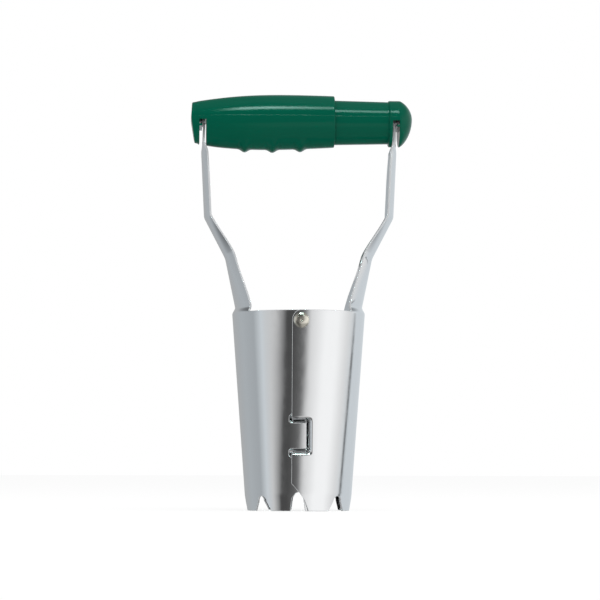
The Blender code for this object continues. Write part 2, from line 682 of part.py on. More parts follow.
def inner_grip_mesh():
    """Inner grip: hollow sleeve that slides in the outer grip, and a domed collar on the right arm."""
    sleeve_start = GRIP_MOUTH - SLEEVE_OVERLAP
    hollow = SLEEVE_NECK_RADIUS - SLEEVE_WALL
    profile = [(COLLAR_START - CAP_WALL, 0.0), (COLLAR_START - CAP_WALL, hollow), (sleeve_start, hollow),
               (sleeve_start, SLEEVE_NECK_RADIUS - SLIDE_GAP),
               (sleeve_start + SLEEVE_WALL, SLEEVE_NECK_RADIUS),
               (GRIP_MOUTH, SLEEVE_RADIUS), (COLLAR_START, SLEEVE_NECK_RADIUS),
               (COLLAR_START, COLLAR_RADIUS - COLLAR_STEP_ROUND),
               (COLLAR_START + COLLAR_STEP_ROUND, COLLAR_RADIUS), (COLLAR_EDGE, COLLAR_RADIUS)]
    for share in (0.16, 0.36, 0.58, 0.8, 1.0):
        place = COLLAR_EDGE + DOME_HEIGHT * (1 - (1 - share) ** DOME_CURVE_SHARE)
        profile.append((place, COLLAR_RADIUS * (1 - share)))
    shape = lathe(profile, HANDLE_SIDES)
    for corner in shape.verts:
        radius = math.hypot(corner.co.y, corner.co.z)
        if corner.co.x > COLLAR_EDGE:
            corner.co.z += PARTING_RISE * (1 - radius / COLLAR_RADIUS)
        elif radius < SLEEVE_RADIUS + WELD:
            corner.co.z += SLEEVE_LIFT
    bmesh.ops.translate(shape, verts=shape.verts, vec=(0.0, 0.0, HANDLE_HEIGHT))
    return cut_slot(shape, "inner_grip", 1)


def add_grips(root, plastic):
    """Both grips, each with its origin on the hinge at its arm's tip."""
    grips = (("outer_grip", outer_grip_mesh(), -1), ("inner_grip", inner_grip_mesh(), 1))
    for name, mesh, direction in grips:
        mesh.materials.clear()
        mesh.materials.append(plastic)
        add_object(name, mesh, root, (direction * TIP_HINGE_REACH, 0.0, LIP_HEIGHT))


def add_spring(root, steel):
    """Compression spring between the outer grip's bore end and the inner grip's end wall."""
    radius = SPRING_OUTER_RADIUS - SPRING_WIRE / 2
    start = -SLOT_INNER + BORE_END_WALL + SPRING_WIRE / 2 + SPRING_SEAT_GAP
    end = COLLAR_START - CAP_WALL - SPRING_WIRE / 2 - SPRING_SEAT_GAP
    count = SPRING_TURNS * CURL_POINTS
    curve = bpy.data.curves.new("handle_spring", "CURVE")
    curve.dimensions = "3D"
    curve.bevel_depth = SPRING_WIRE / 2
    curve.bevel_resolution = 1
    curve.use_fill_caps = True
    wire = curve.splines.new("POLY")
    wire.points.add(count)
    for step in range(count + 1):
        angle = step * math.tau / CURL_POINTS
        place = (blend(0.0, end - start, step / count), radius * math.sin(angle), radius * math.cos(angle))
        wire.points[step].co = (*place, 1.0)
    curve.materials.append(steel)
    add_object("handle_spring", curve, root, (start, 0.0, HANDLE_HEIGHT + SLEEVE_LIFT))


def build():
    """Build the planter under one root empty."""
    clear_scene()
    root = add_object("planter_origin", None, place=(-MIDDLE_SHIFT, 0.0, 0.0))
    add_halves(root, finish_of(STEEL))
    add_rivets(root, finish_of(RIVET_STEEL))
    add_grips(root, finish_of(GREEN_PLASTIC))
    add_spring(root, finish_of(SPRING_STEEL))


build()
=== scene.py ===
"""Bulb planter: the finished surfaces, finishes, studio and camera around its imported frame.

Every length is in metres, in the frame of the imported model: +Z up, the tooth tips at Z = 0, the handle
along X and the front towards -Y. The sheet steel halves, the rivets, the two grips and the spring are
surfaces worked out with numpy. Each one stands for the solid of the same name and rides on its body.
"""

from __future__ import annotations

import logging
import math
from dataclasses import dataclass, field
from enum import Enum
from functools import partial
from typing import Callable

import bpy
import numpy as np
from mathutils import Matrix, Vector
from mathutils.geometry import delaunay_2d_cdt

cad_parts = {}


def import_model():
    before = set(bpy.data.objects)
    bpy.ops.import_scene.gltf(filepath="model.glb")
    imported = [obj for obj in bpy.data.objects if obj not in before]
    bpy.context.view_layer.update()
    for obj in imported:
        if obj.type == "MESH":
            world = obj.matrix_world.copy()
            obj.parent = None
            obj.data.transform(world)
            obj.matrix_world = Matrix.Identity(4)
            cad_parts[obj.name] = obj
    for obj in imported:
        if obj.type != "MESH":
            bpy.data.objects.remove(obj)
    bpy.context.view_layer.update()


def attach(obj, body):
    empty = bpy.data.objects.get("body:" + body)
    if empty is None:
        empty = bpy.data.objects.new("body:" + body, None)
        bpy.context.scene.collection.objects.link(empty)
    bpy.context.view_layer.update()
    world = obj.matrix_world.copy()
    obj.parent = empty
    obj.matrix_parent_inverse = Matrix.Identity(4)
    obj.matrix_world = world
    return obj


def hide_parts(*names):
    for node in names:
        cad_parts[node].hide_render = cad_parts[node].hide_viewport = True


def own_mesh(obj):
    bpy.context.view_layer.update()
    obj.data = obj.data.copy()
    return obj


Array = np.ndarray
Surface = Callable[[Array], Array]
LOG = logging.getLogger("bulb_planter")
MM = 0.001


class Slot(Enum):
    """Material slots of the planter, by name."""

    ZINC = "zinc_plated_steel"
    RIVET = "nickel_plated_rivet"
    PLASTIC = "green_plastic"
    SPRING = "spring_steel"


class Side(Enum):
    """The two halves of the tube, by the direction in which their arm stands."""

    RIGHT = 1
    LEFT = -1


def ease(share: Array | float) -> Array:
    """Smooth step: 3 s squared less 2 s cubed, with s held between 0 and 1."""
    held = np.clip(share, 0.0, 1.0)
    return held * held * (3 - 2 * held)


def blend(start: Array | float, end: Array | float, share: Array | float) -> Array:
    """Value a share of the way from start to end."""
    return start + (end - start) * share


def unit(vectors: Array) -> Array:
    """Vectors scaled to length 1."""
    length = np.linalg.norm(vectors, axis=-1, keepdims=True)
    return vectors / np.maximum(length, 1e-12)


def rounded_path(corners: list[tuple[float, float]], rounds: list[float], step: float) -> Array:
    """Sample a flat path whose inner corners are rounded by arcs.

    A corner with turn a and radius r gets an arc that starts r tan(a / 2) before it. Straight runs and
    arcs are both sampled at about the given step.

    Args:
        corners: points of the path.
        rounds: radius at each corner between the first and the last.
        step: distance between samples.

    Returns:
        Points of the path, one row each.
    """
    places = np.array(corners, float)
    runs = [places[:1]]
    for before, corner, after, radius in zip(places, places[1:], places[2:], rounds):
        back, ahead = unit(before - corner), unit(after - corner)
        turn = math.pi - math.acos(float(np.clip(back @ ahead, -1, 1)))
        centre = corner + unit(back + ahead) * radius / math.cos(turn / 2)
        reach = radius * math.tan(turn / 2)
        start, end = corner + back * reach - centre, corner + ahead * reach - centre
        count = max(3, math.ceil(radius * turn / step))
        share = np.linspace(0, 1, count + 1)[:, None]
        arc = (start * np.sin((1 - share) * turn) + end * np.sin(share * turn)) / math.sin(turn)
        runs.append(centre + arc)
    runs.append(places[-1:])
    return resampled(np.concatenate(runs), step)


def resampled(points: Array, step: float) -> Array:
    """Points of an open line, with each stretch longer than the step cut into equal parts."""
    gaps = np.linalg.norm(np.diff(points, axis=0), axis=1)
    parts = np.maximum(1, np.ceil(gaps / step - 0.01)).astype(int)
    stretch = np.repeat(np.arange(len(gaps)), parts)
    first = np.repeat(np.cumsum(parts) - parts, parts)
    share = ((np.arange(parts.sum()) - first) / np.repeat(parts, parts))[:, None]
    line = blend(points[stretch], points[stretch + 1], share)
    return np.concatenate([line, points[-1:]])


def closed_loop(runs: list[Array], step: float) -> Array:
    """Closed outline from runs of points laid end to end, with repeated points dropped."""
    points = np.concatenate(runs)
    points = np.concatenate([points, points[:1]])
    moved = np.linalg.norm(np.diff(points, axis=0), axis=1) > step / 50
    points = np.concatenate([points[:1], points[1:][moved]])
    return resampled(points, step)[:-1]


def crossings(points: Array, outlines: list[Array]) -> Array:
    """Whether each point is inside an odd number of outlines: a level ray is followed to the right."""
    start = np.concatenate(outlines)
    end = np.concatenate([np.roll(outline, -1, axis=0) for outline in outlines])
    inside = []
    for chunk in np.array_split(points, max(1, len(points) // 2000)):
        level = chunk[:, 1:2]
        straddles = (start[:, 1] > level) != (end[:, 1] > level)
        rise = np.where(end[:, 1] == start[:, 1], 1.0, end[:, 1] - start[:, 1])
        meets = start[:, 0] + (end[:, 0] - start[:, 0]) * (level - start[:, 1]) / rise
        inside.append((straddles & (chunk[:, :1] < meets)).sum(axis=1) % 2 == 1)
    return np.concatenate(inside)


def border_distance(points: Array, outlines: list[Array]) -> Array:
    """Distance from each point to the nearest outline edge."""
    start = np.concatenate(outlines)
    run = np.concatenate([np.roll(outline, -1, axis=0) for outline in outlines]) - start
    nearest = []
    for chunk in np.array_split(points, max(1, len(points) // 2000)):
        offset = chunk[:, None] - start
        share = np.clip((offset * run).sum(2) / (run * run).sum(1), 0, 1)
        nearest.append(np.linalg.norm(offset - share[:, :, None] * run, axis=2).min(axis=1))
    return np.concatenate(nearest)


@dataclass
class Patch:
    """A rectangle of a flat pattern whose points lie closer together."""

    low: tuple[float, float]
    high: tuple[float, float]
    spacing: float

    def holds(self, points: Array) -> Array:
        """Whether each point is in the rectangle."""
        return ((points > self.low) & (points < self.high)).all(axis=1)


@dataclass
class Pattern:
    """A flat pattern: closed outlines, the outer one counter-clockwise and the holes clockwise."""

    outlines: list[Array]
    spacing: float
    patches: list[Patch] = field(default_factory=list)

    def seeds(self) -> Array:
        """Staggered points inside the outlines, closer together in the patches."""
        corner_low, corner_high = self.outlines[0].min(axis=0), self.outlines[0].max(axis=0)
        whole = Patch(tuple(corner_low), tuple(corner_high), self.spacing)
        found = []
        for patch in [whole, *self.patches]:
            rise = patch.spacing * math.sqrt(0.75)
            rows = np.arange(patch.low[1], patch.high[1], rise)
            columns = np.arange(patch.low[0], patch.high[0], patch.spacing)
            grid = np.stack(np.meshgrid(columns, rows), axis=-1)
            grid[1::2, :, 0] += patch.spacing / 2
            points = grid.reshape(-1, 2)
            keep = patch.holds(points)
            if patch is whole:
                for other in self.patches:
                    keep &= ~other.holds(points)
            points = points[keep]
            points = points[crossings(points, self.outlines)]
            found.append(points[border_distance(points, self.outlines) > patch.spacing * 0.55])
        return np.concatenate(found)

    def filled(self) -> tuple[Array, Array]:
        """Fill the outlines with triangles.

        Returns:
            Points, the outlines' own first and in order, and counter-clockwise triangles.
        """
        border = np.concatenate(self.outlines)
        numbers = np.split(np.arange(len(border)), np.cumsum([len(o) for o in self.outlines])[:-1])
        edges = np.concatenate([np.stack([n, np.roll(n, -1)], axis=1) for n in numbers])
        points = np.concatenate([border, self.seeds()])
        placed, _, faces, *_ = delaunay_2d_cdt((points / MM).tolist(), edges.tolist(), [], 0, 1e-6)
        placed = np.array(placed) * MM
        if len(placed) != len(points) or not np.allclose(placed, points, atol=1e-7):
            raise ValueError("two outline points of a flat pattern coincide")
        triangles = np.array(faces)
        triangles = triangles[crossings(points[triangles].mean(axis=1), self.outlines)]
        a, b, c = points[triangles].transpose(1, 0, 2)
        turned = np.cross(b - a, c - a) < 0
        triangles[turned] = triangles[turned][:, ::-1]
        return points, triangles


def grid_triangles(rows: int, columns: int) -> Array:
    """Triangles of a grid of points that faces along its column direction crossed with its row direction."""
    corner = np.arange(rows * columns).reshape(rows, columns)
    a, b = corner[:-1, :-1].ravel(), corner[:-1, 1:].ravel()
    c, d = corner[1:, 1:].ravel(), corner[1:, :-1].ravel()
    return np.concatenate([np.stack([a, b, c], axis=1), np.stack([a, c, d], axis=1)])


def surface_normals(surface: Surface, pattern: Array) -> Array:
    """Unit normals of a surface of pattern points (u, v): its u slope crossed with its v slope."""
    step = 0.02 * MM
    along = surface(pattern + (step, 0.0)) - surface(pattern - (step, 0.0))
    across = surface(pattern + (0.0, step)) - surface(pattern - (0.0, step))
    return unit(np.cross(along, across))


class Skin:
    """Collects the points, normals and triangles of one closed piece, and makes its mesh."""

    def __init__(self) -> None:
        """Start with nothing in it."""
        self.points: list[Array] = []
        self.normals: list[Array] = []
        self.triangles: list[Array] = []
        self.finishes: list[Array] = []
        self.count = 0

    def add(self, points: Array, normals: Array, triangles: Array, finish: int = 0) -> None:
        """Add points with their normals, and triangles that number those points from 0."""
        self.points.append(points.reshape(-1, 3))
        self.normals.append(normals.reshape(-1, 3))
        self.triangles.append(triangles + self.count)
        self.finishes.append(np.full(len(triangles), finish))
        self.count += len(self.points[-1])

    def add_grid(self, points: Array, normals: Array, finish: int = 0) -> None:
        """Add a grid of points, turned so that its triangles face the way that its normals point."""
        triangles = grid_triangles(*points.shape[:2])
        flat, facing = points.reshape(-1, 3), normals.reshape(-1, 3)
        a, b, c = flat[triangles].transpose(1, 0, 2)
        agrees = (np.cross(b - a, c - a) * facing[triangles].sum(axis=1)).sum()
        self.add(points, normals, triangles if agrees > 0 else triangles[:, ::-1], finish)

    def object(self, name: str, place: Matrix, finishes: list[bpy.types.Material]) -> bpy.types.Object:
        """Weld what coincides and make the object.

        Args:
            name: name of the piece.
            place: placing of the piece's own frame in the model's.
            finishes: materials, by the numbers given to the triangles.

        Returns:
            The object, smooth shaded by the surfaces' own normals.
        """
        points, normals = np.concatenate(self.points), np.concatenate(self.normals)
        cells = np.round(points / (0.002 * MM)).astype(np.int64)
        _, first, number = np.unique(cells, axis=0, return_index=True, return_inverse=True)
        summed = np.zeros((len(first), 3))
        np.add.at(summed, number.ravel(), normals)
        triangles = number.ravel()[np.concatenate(self.triangles)]
        distinct = (triangles != np.roll(triangles, 1, axis=1)).all(axis=1)
        used, numbered = np.unique(triangles[distinct], return_inverse=True)
        turn, shift = np.array(place.to_3x3()), np.array(place.to_translation())
        mesh = bpy.data.meshes.new(name)
        placed = points[first][used] @ turn.T + shift
        mesh.from_pydata(placed.tolist(), [], numbered.reshape(-1, 3).tolist())
        for finish in finishes:
            mesh.materials.append(finish)
        mesh.polygons.foreach_set("material_index", np.concatenate(self.finishes)[distinct].astype(np.int32))
        mesh.shade_smooth()
        mesh.update()
        mesh.normals_split_custom_set_from_vertices((unit(summed[used]) @ turn.T).tolist())
        piece = bpy.data.objects.new(name, mesh)
        bpy.context.scene.collection.objects.link(piece)
        return piece


def rounded_edge(edge: Array, out: Array, through: Array, radius: float) -> tuple[Array, Array]:
    """Rows that carry a sheet's outer face round its edge to its inner face.

    With b the direction out of the sheet, d the direction through it, t its thickness and r the edge's
    radius, the outer corner is edge - b (r - r sin a) + d (r - r cos a) for a from 0 to 90 degrees, and
    the inner corner is the same seen from the other face.

    Args:
        edge: points where the outer face would end square.
        out: unit directions out of the sheet at those points.
        through: vectors from the outer face to the inner face.
        radius: radius of both corners.

    Returns:
        Points and normals, as grids of rows from the outer face to the inner face.
    """
    thickness = np.linalg.norm(through, axis=1, keepdims=True)
    inward = through / thickness
    rows, normals = [], []
    for angle in np.linspace(0, math.pi / 2, 4):
        rows.append(edge - out * radius * (1 - math.sin(angle)) + inward * radius * (1 - math.cos(angle)))
        normals.append(out * math.sin(angle) - inward * math.cos(angle))
    for angle in np.linspace(math.pi / 2, 0, 4):
        depth = thickness - radius * (1 - math.cos(angle))
        rows.append(edge - out * radius * (1 - math.sin(angle)) + inward * depth)
        normals.append(out * math.sin(angle) + inward * math.cos(angle))
    return np.stack(rows), np.stack(normals)


@dataclass
class TubeHalf:
    """One half of the tube with its arm: a single sheet steel pressing, in its own frame.

    The arm stands towards +X. A pattern point (u, v) is at the angle u / pattern_radius round the tube,
    negative in front, and v is its height, or above the neck the neck's height plus the arm's length.
    """

    height: float = 0.1081
    tip_radius: float = 0.02855
    rim_radius: float = 0.03645
    sheet: float = 0.0012
    lap_gap: float = 0.0005
    crimp_depth: float = 0.0004
    crimp_height: float = 0.009
    over_lap: float = 0.0049
    under_lap: float = 0.008
    pivot_drop: float = 0.0055
    rivet_hole_radius: float = 0.0022
    notch_pitch: float = math.radians(45)
    notch_depth: float = 0.0081
    notch_mouth: float = 0.0116
    notch_crown: float = 0.006
    pocket_bottom: float = 0.03
    pocket_top: float = 0.0508
    pocket_wall: float = 0.0029
    pocket_end_wall: float = 0.0034
    pocket_reach: float = 0.0064
    window_margin: float = 0.0012
    tongue_bottom: float = 0.0336
    tongue_top: float = 0.0473
    tongue_reach: float = 0.0031
    slit_reach: float = 0.0062
    foot_angle: float = math.radians(38.8)
    neck_rise: float = 0.003
    neck_set_in: float = 0.0018
    shoulder_drop: float = 0.001
    shoulder_spread: float = math.radians(14)
    rim_fillet: float = 0.001
    low_knee_rise: float = 0.03
    low_knee_out: float = 0.0056
    high_knee_rise: float = 0.0524
    arm_reach: float = 0.05385
    high_knee_tuck: float = 0.0017
    blade_foot_tuck: float = 0.0005
    blade_tip_tuck: float = 0.001
    handle_rise: float = 0.1049
    upper_bend_drop: float = 0.0164
    blade_foot_drop: float = 0.0121
    lip_drop: float = 0.0014
    lip_length: float = 0.0015
    lip_round: float = 0.0003
    arm_half_width: float = 0.0105
    blade_half_width: float = 0.007
    lower_gutter: float = 0.0052
    upper_gutter: float = 0.0032
    gutter_fade_drop: float = 0.0168
    gutter_end_drop: float = 0.0099
    edge_radius: float = 0.00022
    pattern_radius: float = 0.033

    def __post_init__(self) -> None:
        """Work out the arm's middle line."""
        self.neck = self.height + self.neck_rise
        self.neck_reach = float(self.cone(self.neck)) - self.neck_set_in
        self.arm = self.arm_line()
        gaps = np.linalg.norm(np.diff(self.arm, axis=0), axis=1)
        self.arm_lengths = np.concatenate([[0.0], np.cumsum(gaps)])

    def cone(self, height: Array | float) -> Array:
        """Outer radius of the plain tube: a cone drawn in a little at the teeth."""
        radius = blend(self.tip_radius, self.rim_radius, height / self.height)
        return radius - self.crimp_depth * ease(1 - height / self.crimp_height)

    def arm_line(self) -> Array:
        """Middle line of the arm's outer face above the neck, as (reach, height) points."""
        handle = self.height + self.handle_rise
        lip = handle - self.lip_drop
        corners = [
            (self.neck_reach, self.neck),
            (self.neck_reach + self.low_knee_out, self.height + self.low_knee_rise),
            (self.arm_reach - self.high_knee_tuck, self.height + self.high_knee_rise),
            (self.arm_reach, handle - self.upper_bend_drop),
            (self.arm_reach - self.blade_foot_tuck, handle - self.blade_foot_drop),
            (self.arm_reach - self.blade_tip_tuck, lip),
            (self.arm_reach - self.blade_tip_tuck + self.lip_length, lip + self.lip_round),
        ]
        rounds = [12 * MM, 5.5 * MM, 3 * MM, 3 * MM, self.lip_round]
        return rounded_path(corners, rounds, 0.1 * MM)

    def half_width(self, height: Array) -> Array:
        """Half width of the arm: narrower from the neck to the low knee, and again to the blade."""
        foot = self.neck_reach * math.sin(self.foot_angle)
        knee = self.height + self.low_knee_rise
        handle = self.height + self.handle_rise
        start, blade = handle - self.upper_bend_drop * 2, handle - self.blade_foot_drop
        width = blend(foot, self.arm_half_width, ease((height - self.neck) / (knee - self.neck)))
        return blend(width, self.blade_half_width, ease((height - start) / (blade - start)))

    def gutter(self, height: Array) -> Array:
        """Depth of the arm's gutter section, from the tube's own arc to a flat blade."""
        foot = self.neck_reach * (1 - math.cos(self.foot_angle))
        low, high = self.height + self.low_knee_rise, self.height + self.high_knee_rise
        handle = self.height + self.handle_rise
        start, flat = handle - self.gutter_fade_drop, handle - self.gutter_end_drop
        depth = blend(foot, self.lower_gutter, ease((height - self.neck) / (low - self.neck)))
        depth = blend(depth, self.upper_gutter, ease((height - low) / (high - low)))
        return blend(depth, 0.0, ease((height - start) / (flat - start)))

    def sheet_face(self, pattern: Array) -> Array:
        """Outer face without its pocket.

        Up to the neck it is (r cos a, r sin a, v), where r is the cone less the shoulder's set-in, which
        fades beside the arm. Above, the middle line is moved in by the gutter's sag
        d (1 - cos a) / (1 - cos f), and sideways by w sin a / sin f, with f the foot angle.
        """
        angle, level = pattern[:, 0] / self.pattern_radius, pattern[:, 1]
        shoulder = self.height - self.shoulder_drop
        set_in = self.neck_set_in * ease((level - shoulder) / (self.neck - shoulder))
        fade = 1 - ease((np.abs(angle) - self.foot_angle) / self.shoulder_spread)
        radius = self.cone(level) - set_in * fade
        wall = np.stack([radius * np.cos(angle), radius * np.sin(angle), level], axis=1)
        run = np.clip(level - self.neck, 0.0, self.arm_lengths[-1])
        reach = np.interp(run, self.arm_lengths, self.arm[:, 0])
        height = np.interp(run, self.arm_lengths, self.arm[:, 1])
        near = 0.15 * MM
        before, after = np.maximum(run - near, 0.0), np.minimum(run + near, self.arm_lengths[-1])
        rise = np.interp(after, self.arm_lengths, self.arm[:, 1])
        rise -= np.interp(before, self.arm_lengths, self.arm[:, 1])
        out = np.interp(after, self.arm_lengths, self.arm[:, 0])
        out -= np.interp(before, self.arm_lengths, self.arm[:, 0])
        turned = ease(run / (self.low_knee_rise - self.neck_rise))[:, None]
        outward = unit(blend(np.array([1.0, 0.0]), unit(np.stack([rise, -out], axis=1)), turned))
        sag = self.gutter(height) * (1 - np.cos(angle)) / (1 - math.cos(self.foot_angle))
        side = self.half_width(height) * np.sin(angle) / math.sin(self.foot_angle)
        arm = np.stack([reach - outward[:, 0] * sag, side, height - outward[:, 1] * sag], axis=1)
        return np.where((level > self.neck)[:, None], arm, wall)

    def pocket(self, pattern: Array, grown: float) -> Array:
        """Depth of the pocket in the front wing: the least of four smooth walls, each moved out by grown."""
        angle, level = pattern[:, 0] / self.pattern_radius, pattern[:, 1]
        across = self.cone(level) * np.cos(angle)
        side = ease((self.pocket_reach + grown - across) / self.pocket_wall)
        low = ease((level - self.pocket_bottom + grown) / self.pocket_end_wall)
        high = ease((self.pocket_top + grown - level) / self.pocket_end_wall)
        depth = 2 * (self.sheet + self.lap_gap) * side * low * high
        return np.where(angle < 0, depth, 0.0)

    def outer_face(self, pattern: Array) -> Array:
        """Outer face with its pocket pressed in along the sheet's normal."""
        inward = surface_normals(self.sheet_face, pattern)
        return self.sheet_face(pattern) - inward * self.pocket(pattern, 0.0)[:, None]

    def inner_face(self, pattern: Array) -> Array:
        """Inner face: the sheet's thickness further in, round a pocket that is larger by the bend."""
        inward = surface_normals(self.sheet_face, pattern)
        depth = self.sheet + self.pocket(pattern, self.sheet / 2)
        return self.sheet_face(pattern) - inward * depth[:, None]

    def at(self, across: Array | float, level: Array | float, front: bool) -> Array:
        """Pattern points of places (x, z) seen square on, in front or behind."""
        across, level = np.broadcast_arrays(np.asarray(across, float), np.asarray(level, float))
        angle = np.arccos(across / self.cone(level))
        return np.stack([self.pattern_radius * (-angle if front else angle), level], axis=-1)

    def run(self, places: list[tuple[float, float]], front: bool, step: float = 0.0004) -> Array:
        """Pattern points along straight lines between places (x, z) seen square on."""
        line = resampled(np.array(places, float), step)
        return self.at(line[:, 0], line[:, 1], front)

    def notch(self, angle: float) -> Array:
        """Whole notch between two teeth, centred at an angle: straight flanks below a round crown."""
        half, crown = self.notch_mouth / 2, self.notch_crown / 2
        turn = np.linspace(math.pi, 0, 15)
        arc = np.stack([crown * np.cos(turn), self.notch_depth - crown + crown * np.sin(turn)], axis=1)
        line = resampled(np.concatenate([[[-half, 0.0]], arc, [[half, 0.0]]]), 0.0004)
        round_tube = angle + np.arcsin(line[:, 0] / self.cone(line[:, 1]))
        return np.stack([round_tube * self.pattern_radius, line[:, 1]], axis=1)

    def seam_notch(self) -> Array:
        """Wider notch in the inner layer behind, whose crown leans like a lopsided arch."""
        places = [(5.3, 0.0), (4.6, 7.0), (2.6, 9.6), (0.95, 10.3), (-0.75, 9.6), (-1.5, 7.6), (-2.7, 0.0)]
        corners = [(x * MM, z * MM) for x, z in places]
        line = rounded_path(corners, [1.2 * MM, 1.5 * MM, 1.5 * MM, 0.9 * MM, 1.2 * MM], 0.4 * MM)
        return self.at(line[:, 0], line[:, 1], False)

    def top_edge(self, lap: float, front: bool) -> Array:
        """Top edge of a wing, from its lapped corner to the rim: a quarter ellipse round the rivet."""
        turn = np.linspace(0, math.pi / 2, 24)
        across = -lap * np.cos(turn)
        level = self.height - self.pivot_drop * (1 - np.sin(turn))
        return self.at(across, level, front)

    def arm_edge(self) -> Array:
        """Edge of one side of the arm: the fillet at the rim, up the side and round the blade's corner."""
        side = self.foot_angle * self.pattern_radius
        turn = np.linspace(-math.pi / 2, -math.pi, 7)
        scale = self.pattern_radius / self.rim_radius
        along = side + self.rim_fillet * scale * (1 + np.cos(turn))
        fillet = np.stack([along, self.height + self.rim_fillet * (1 + np.sin(turn))], axis=1)
        top = self.neck + self.arm_lengths[-1]
        corner = 0.8 * MM
        bend = np.linspace(0, math.pi / 2, 6)
        widened = corner * side / self.blade_half_width
        end = np.stack([side - widened * (1 - np.cos(bend)), top - corner * (1 - np.sin(bend))], axis=1)
        return np.concatenate([fillet, end])

    def outline(self) -> Array:
        """Outer outline of the flat pattern, counter-clockwise from the front wing's lapped edge."""
        front_corner = [
            (-self.over_lap, self.height - self.pivot_drop),
            (-self.over_lap, 14.8 * MM),
            (-0.98 * MM, 10.3 * MM),
            (2.2 * MM, 6.0 * MM),
            (4.4 * MM, 0.0),
        ]
        window_low = self.pocket_bottom - self.window_margin
        window_high = self.pocket_top + self.window_margin
        round_end = 1.0 * MM
        back = [
            (-2.7 * MM, 0.0),
            (-self.under_lap, 0.0),
            (-self.under_lap, window_low),
            (self.slit_reach - round_end, window_low),
            (self.slit_reach, window_low + round_end),
            (self.slit_reach, self.tongue_bottom - round_end),
            (self.slit_reach - round_end, self.tongue_bottom),
            (-self.tongue_reach, self.tongue_bottom),
            (-self.tongue_reach, self.tongue_top),
            (self.slit_reach - round_end, self.tongue_top),
            (self.slit_reach, self.tongue_top + round_end),
            (self.slit_reach, window_high - round_end),
            (self.slit_reach - round_end, window_high),
            (-self.under_lap, window_high),
            (-self.under_lap, self.height - self.pivot_drop),
        ]
        side = self.arm_edge()
        mirrored = side[::-1] * (-1, 1)
        notches = [self.notch(step * self.notch_pitch) for step in (-1, 0, 1)]
        return closed_loop(
            [
                self.run(front_corner, True),
                *notches,
                self.seam_notch(),
                self.run(back, False),
                self.top_edge(self.under_lap, False),
                side,
                mirrored,
                self.top_edge(self.over_lap, True)[::-1],
            ],
            0.6 * MM,
        )

    def rivet_hole(self, front: bool) -> Array:
        """Outline of the rivet hole in one wing, clockwise."""
        turn = np.linspace(0, math.tau, 28, endpoint=False)
        across = self.rivet_hole_radius * np.cos(turn)
        level = self.height - self.pivot_drop + self.rivet_hole_radius * np.sin(turn)
        hole = self.at(across, level, front)
        return hole[::-1] if front else hole

    def pattern(self) -> Pattern:
        """Flat pattern of the half, with closer points at the pocket, the shoulder and the blade's lip."""
        quarter = self.pattern_radius * math.pi / 2
        top = self.neck + self.arm_lengths[-1]
        side = self.foot_angle * self.pattern_radius
        patches = [
            Patch(
                (-quarter - 7 * MM, self.pocket_bottom - 1.5 * MM),
                (-quarter + 9 * MM, self.pocket_top + 1.5 * MM),
                0.4 * MM,
            ),
            Patch((-side - 9 * MM, self.height - 3 * MM), (side + 9 * MM, self.neck + 2 * MM), 0.7 * MM),
            Patch((-side, top - 7 * MM), (side, top), 0.45 * MM),
        ]
        outlines = [self.outline(), self.rivet_hole(True), self.rivet_hole(False)]
        return Pattern(outlines, 1.25 * MM, patches)

    def skin(self) -> Skin:
        """Both faces of the sheet and the rounded edge that joins them."""
        pattern = self.pattern()
        flat, triangles = pattern.filled()
        outer, inner = self.outer_face(flat), self.inner_face(flat)
        outer_normals = surface_normals(self.outer_face, flat)
        inner_normals = -surface_normals(self.inner_face, flat)
        skin = Skin()
        first = 0
        for outline in pattern.outlines:
            loop = slice(first, first + len(outline))
            first += len(outline)
            edge, through = outer[loop], inner[loop] - outer[loop]
            ahead = unit(np.roll(edge, -1, axis=0) - edge)
            behind = unit(edge - np.roll(edge, 1, axis=0))
            out = unit(np.cross(ahead + behind, outer_normals[loop]))
            rows, normals = rounded_edge(edge, out, through, self.edge_radius)
            outer[loop], inner[loop] = rows[0], rows[-1]
            around = [*range(len(edge)), 0]
            skin.add_grid(rows[:, around], normals[:, around], finish=1)
        skin.add(outer, outer_normals, triangles)
        skin.add(inner, inner_normals, triangles[:, ::-1])
        return skin


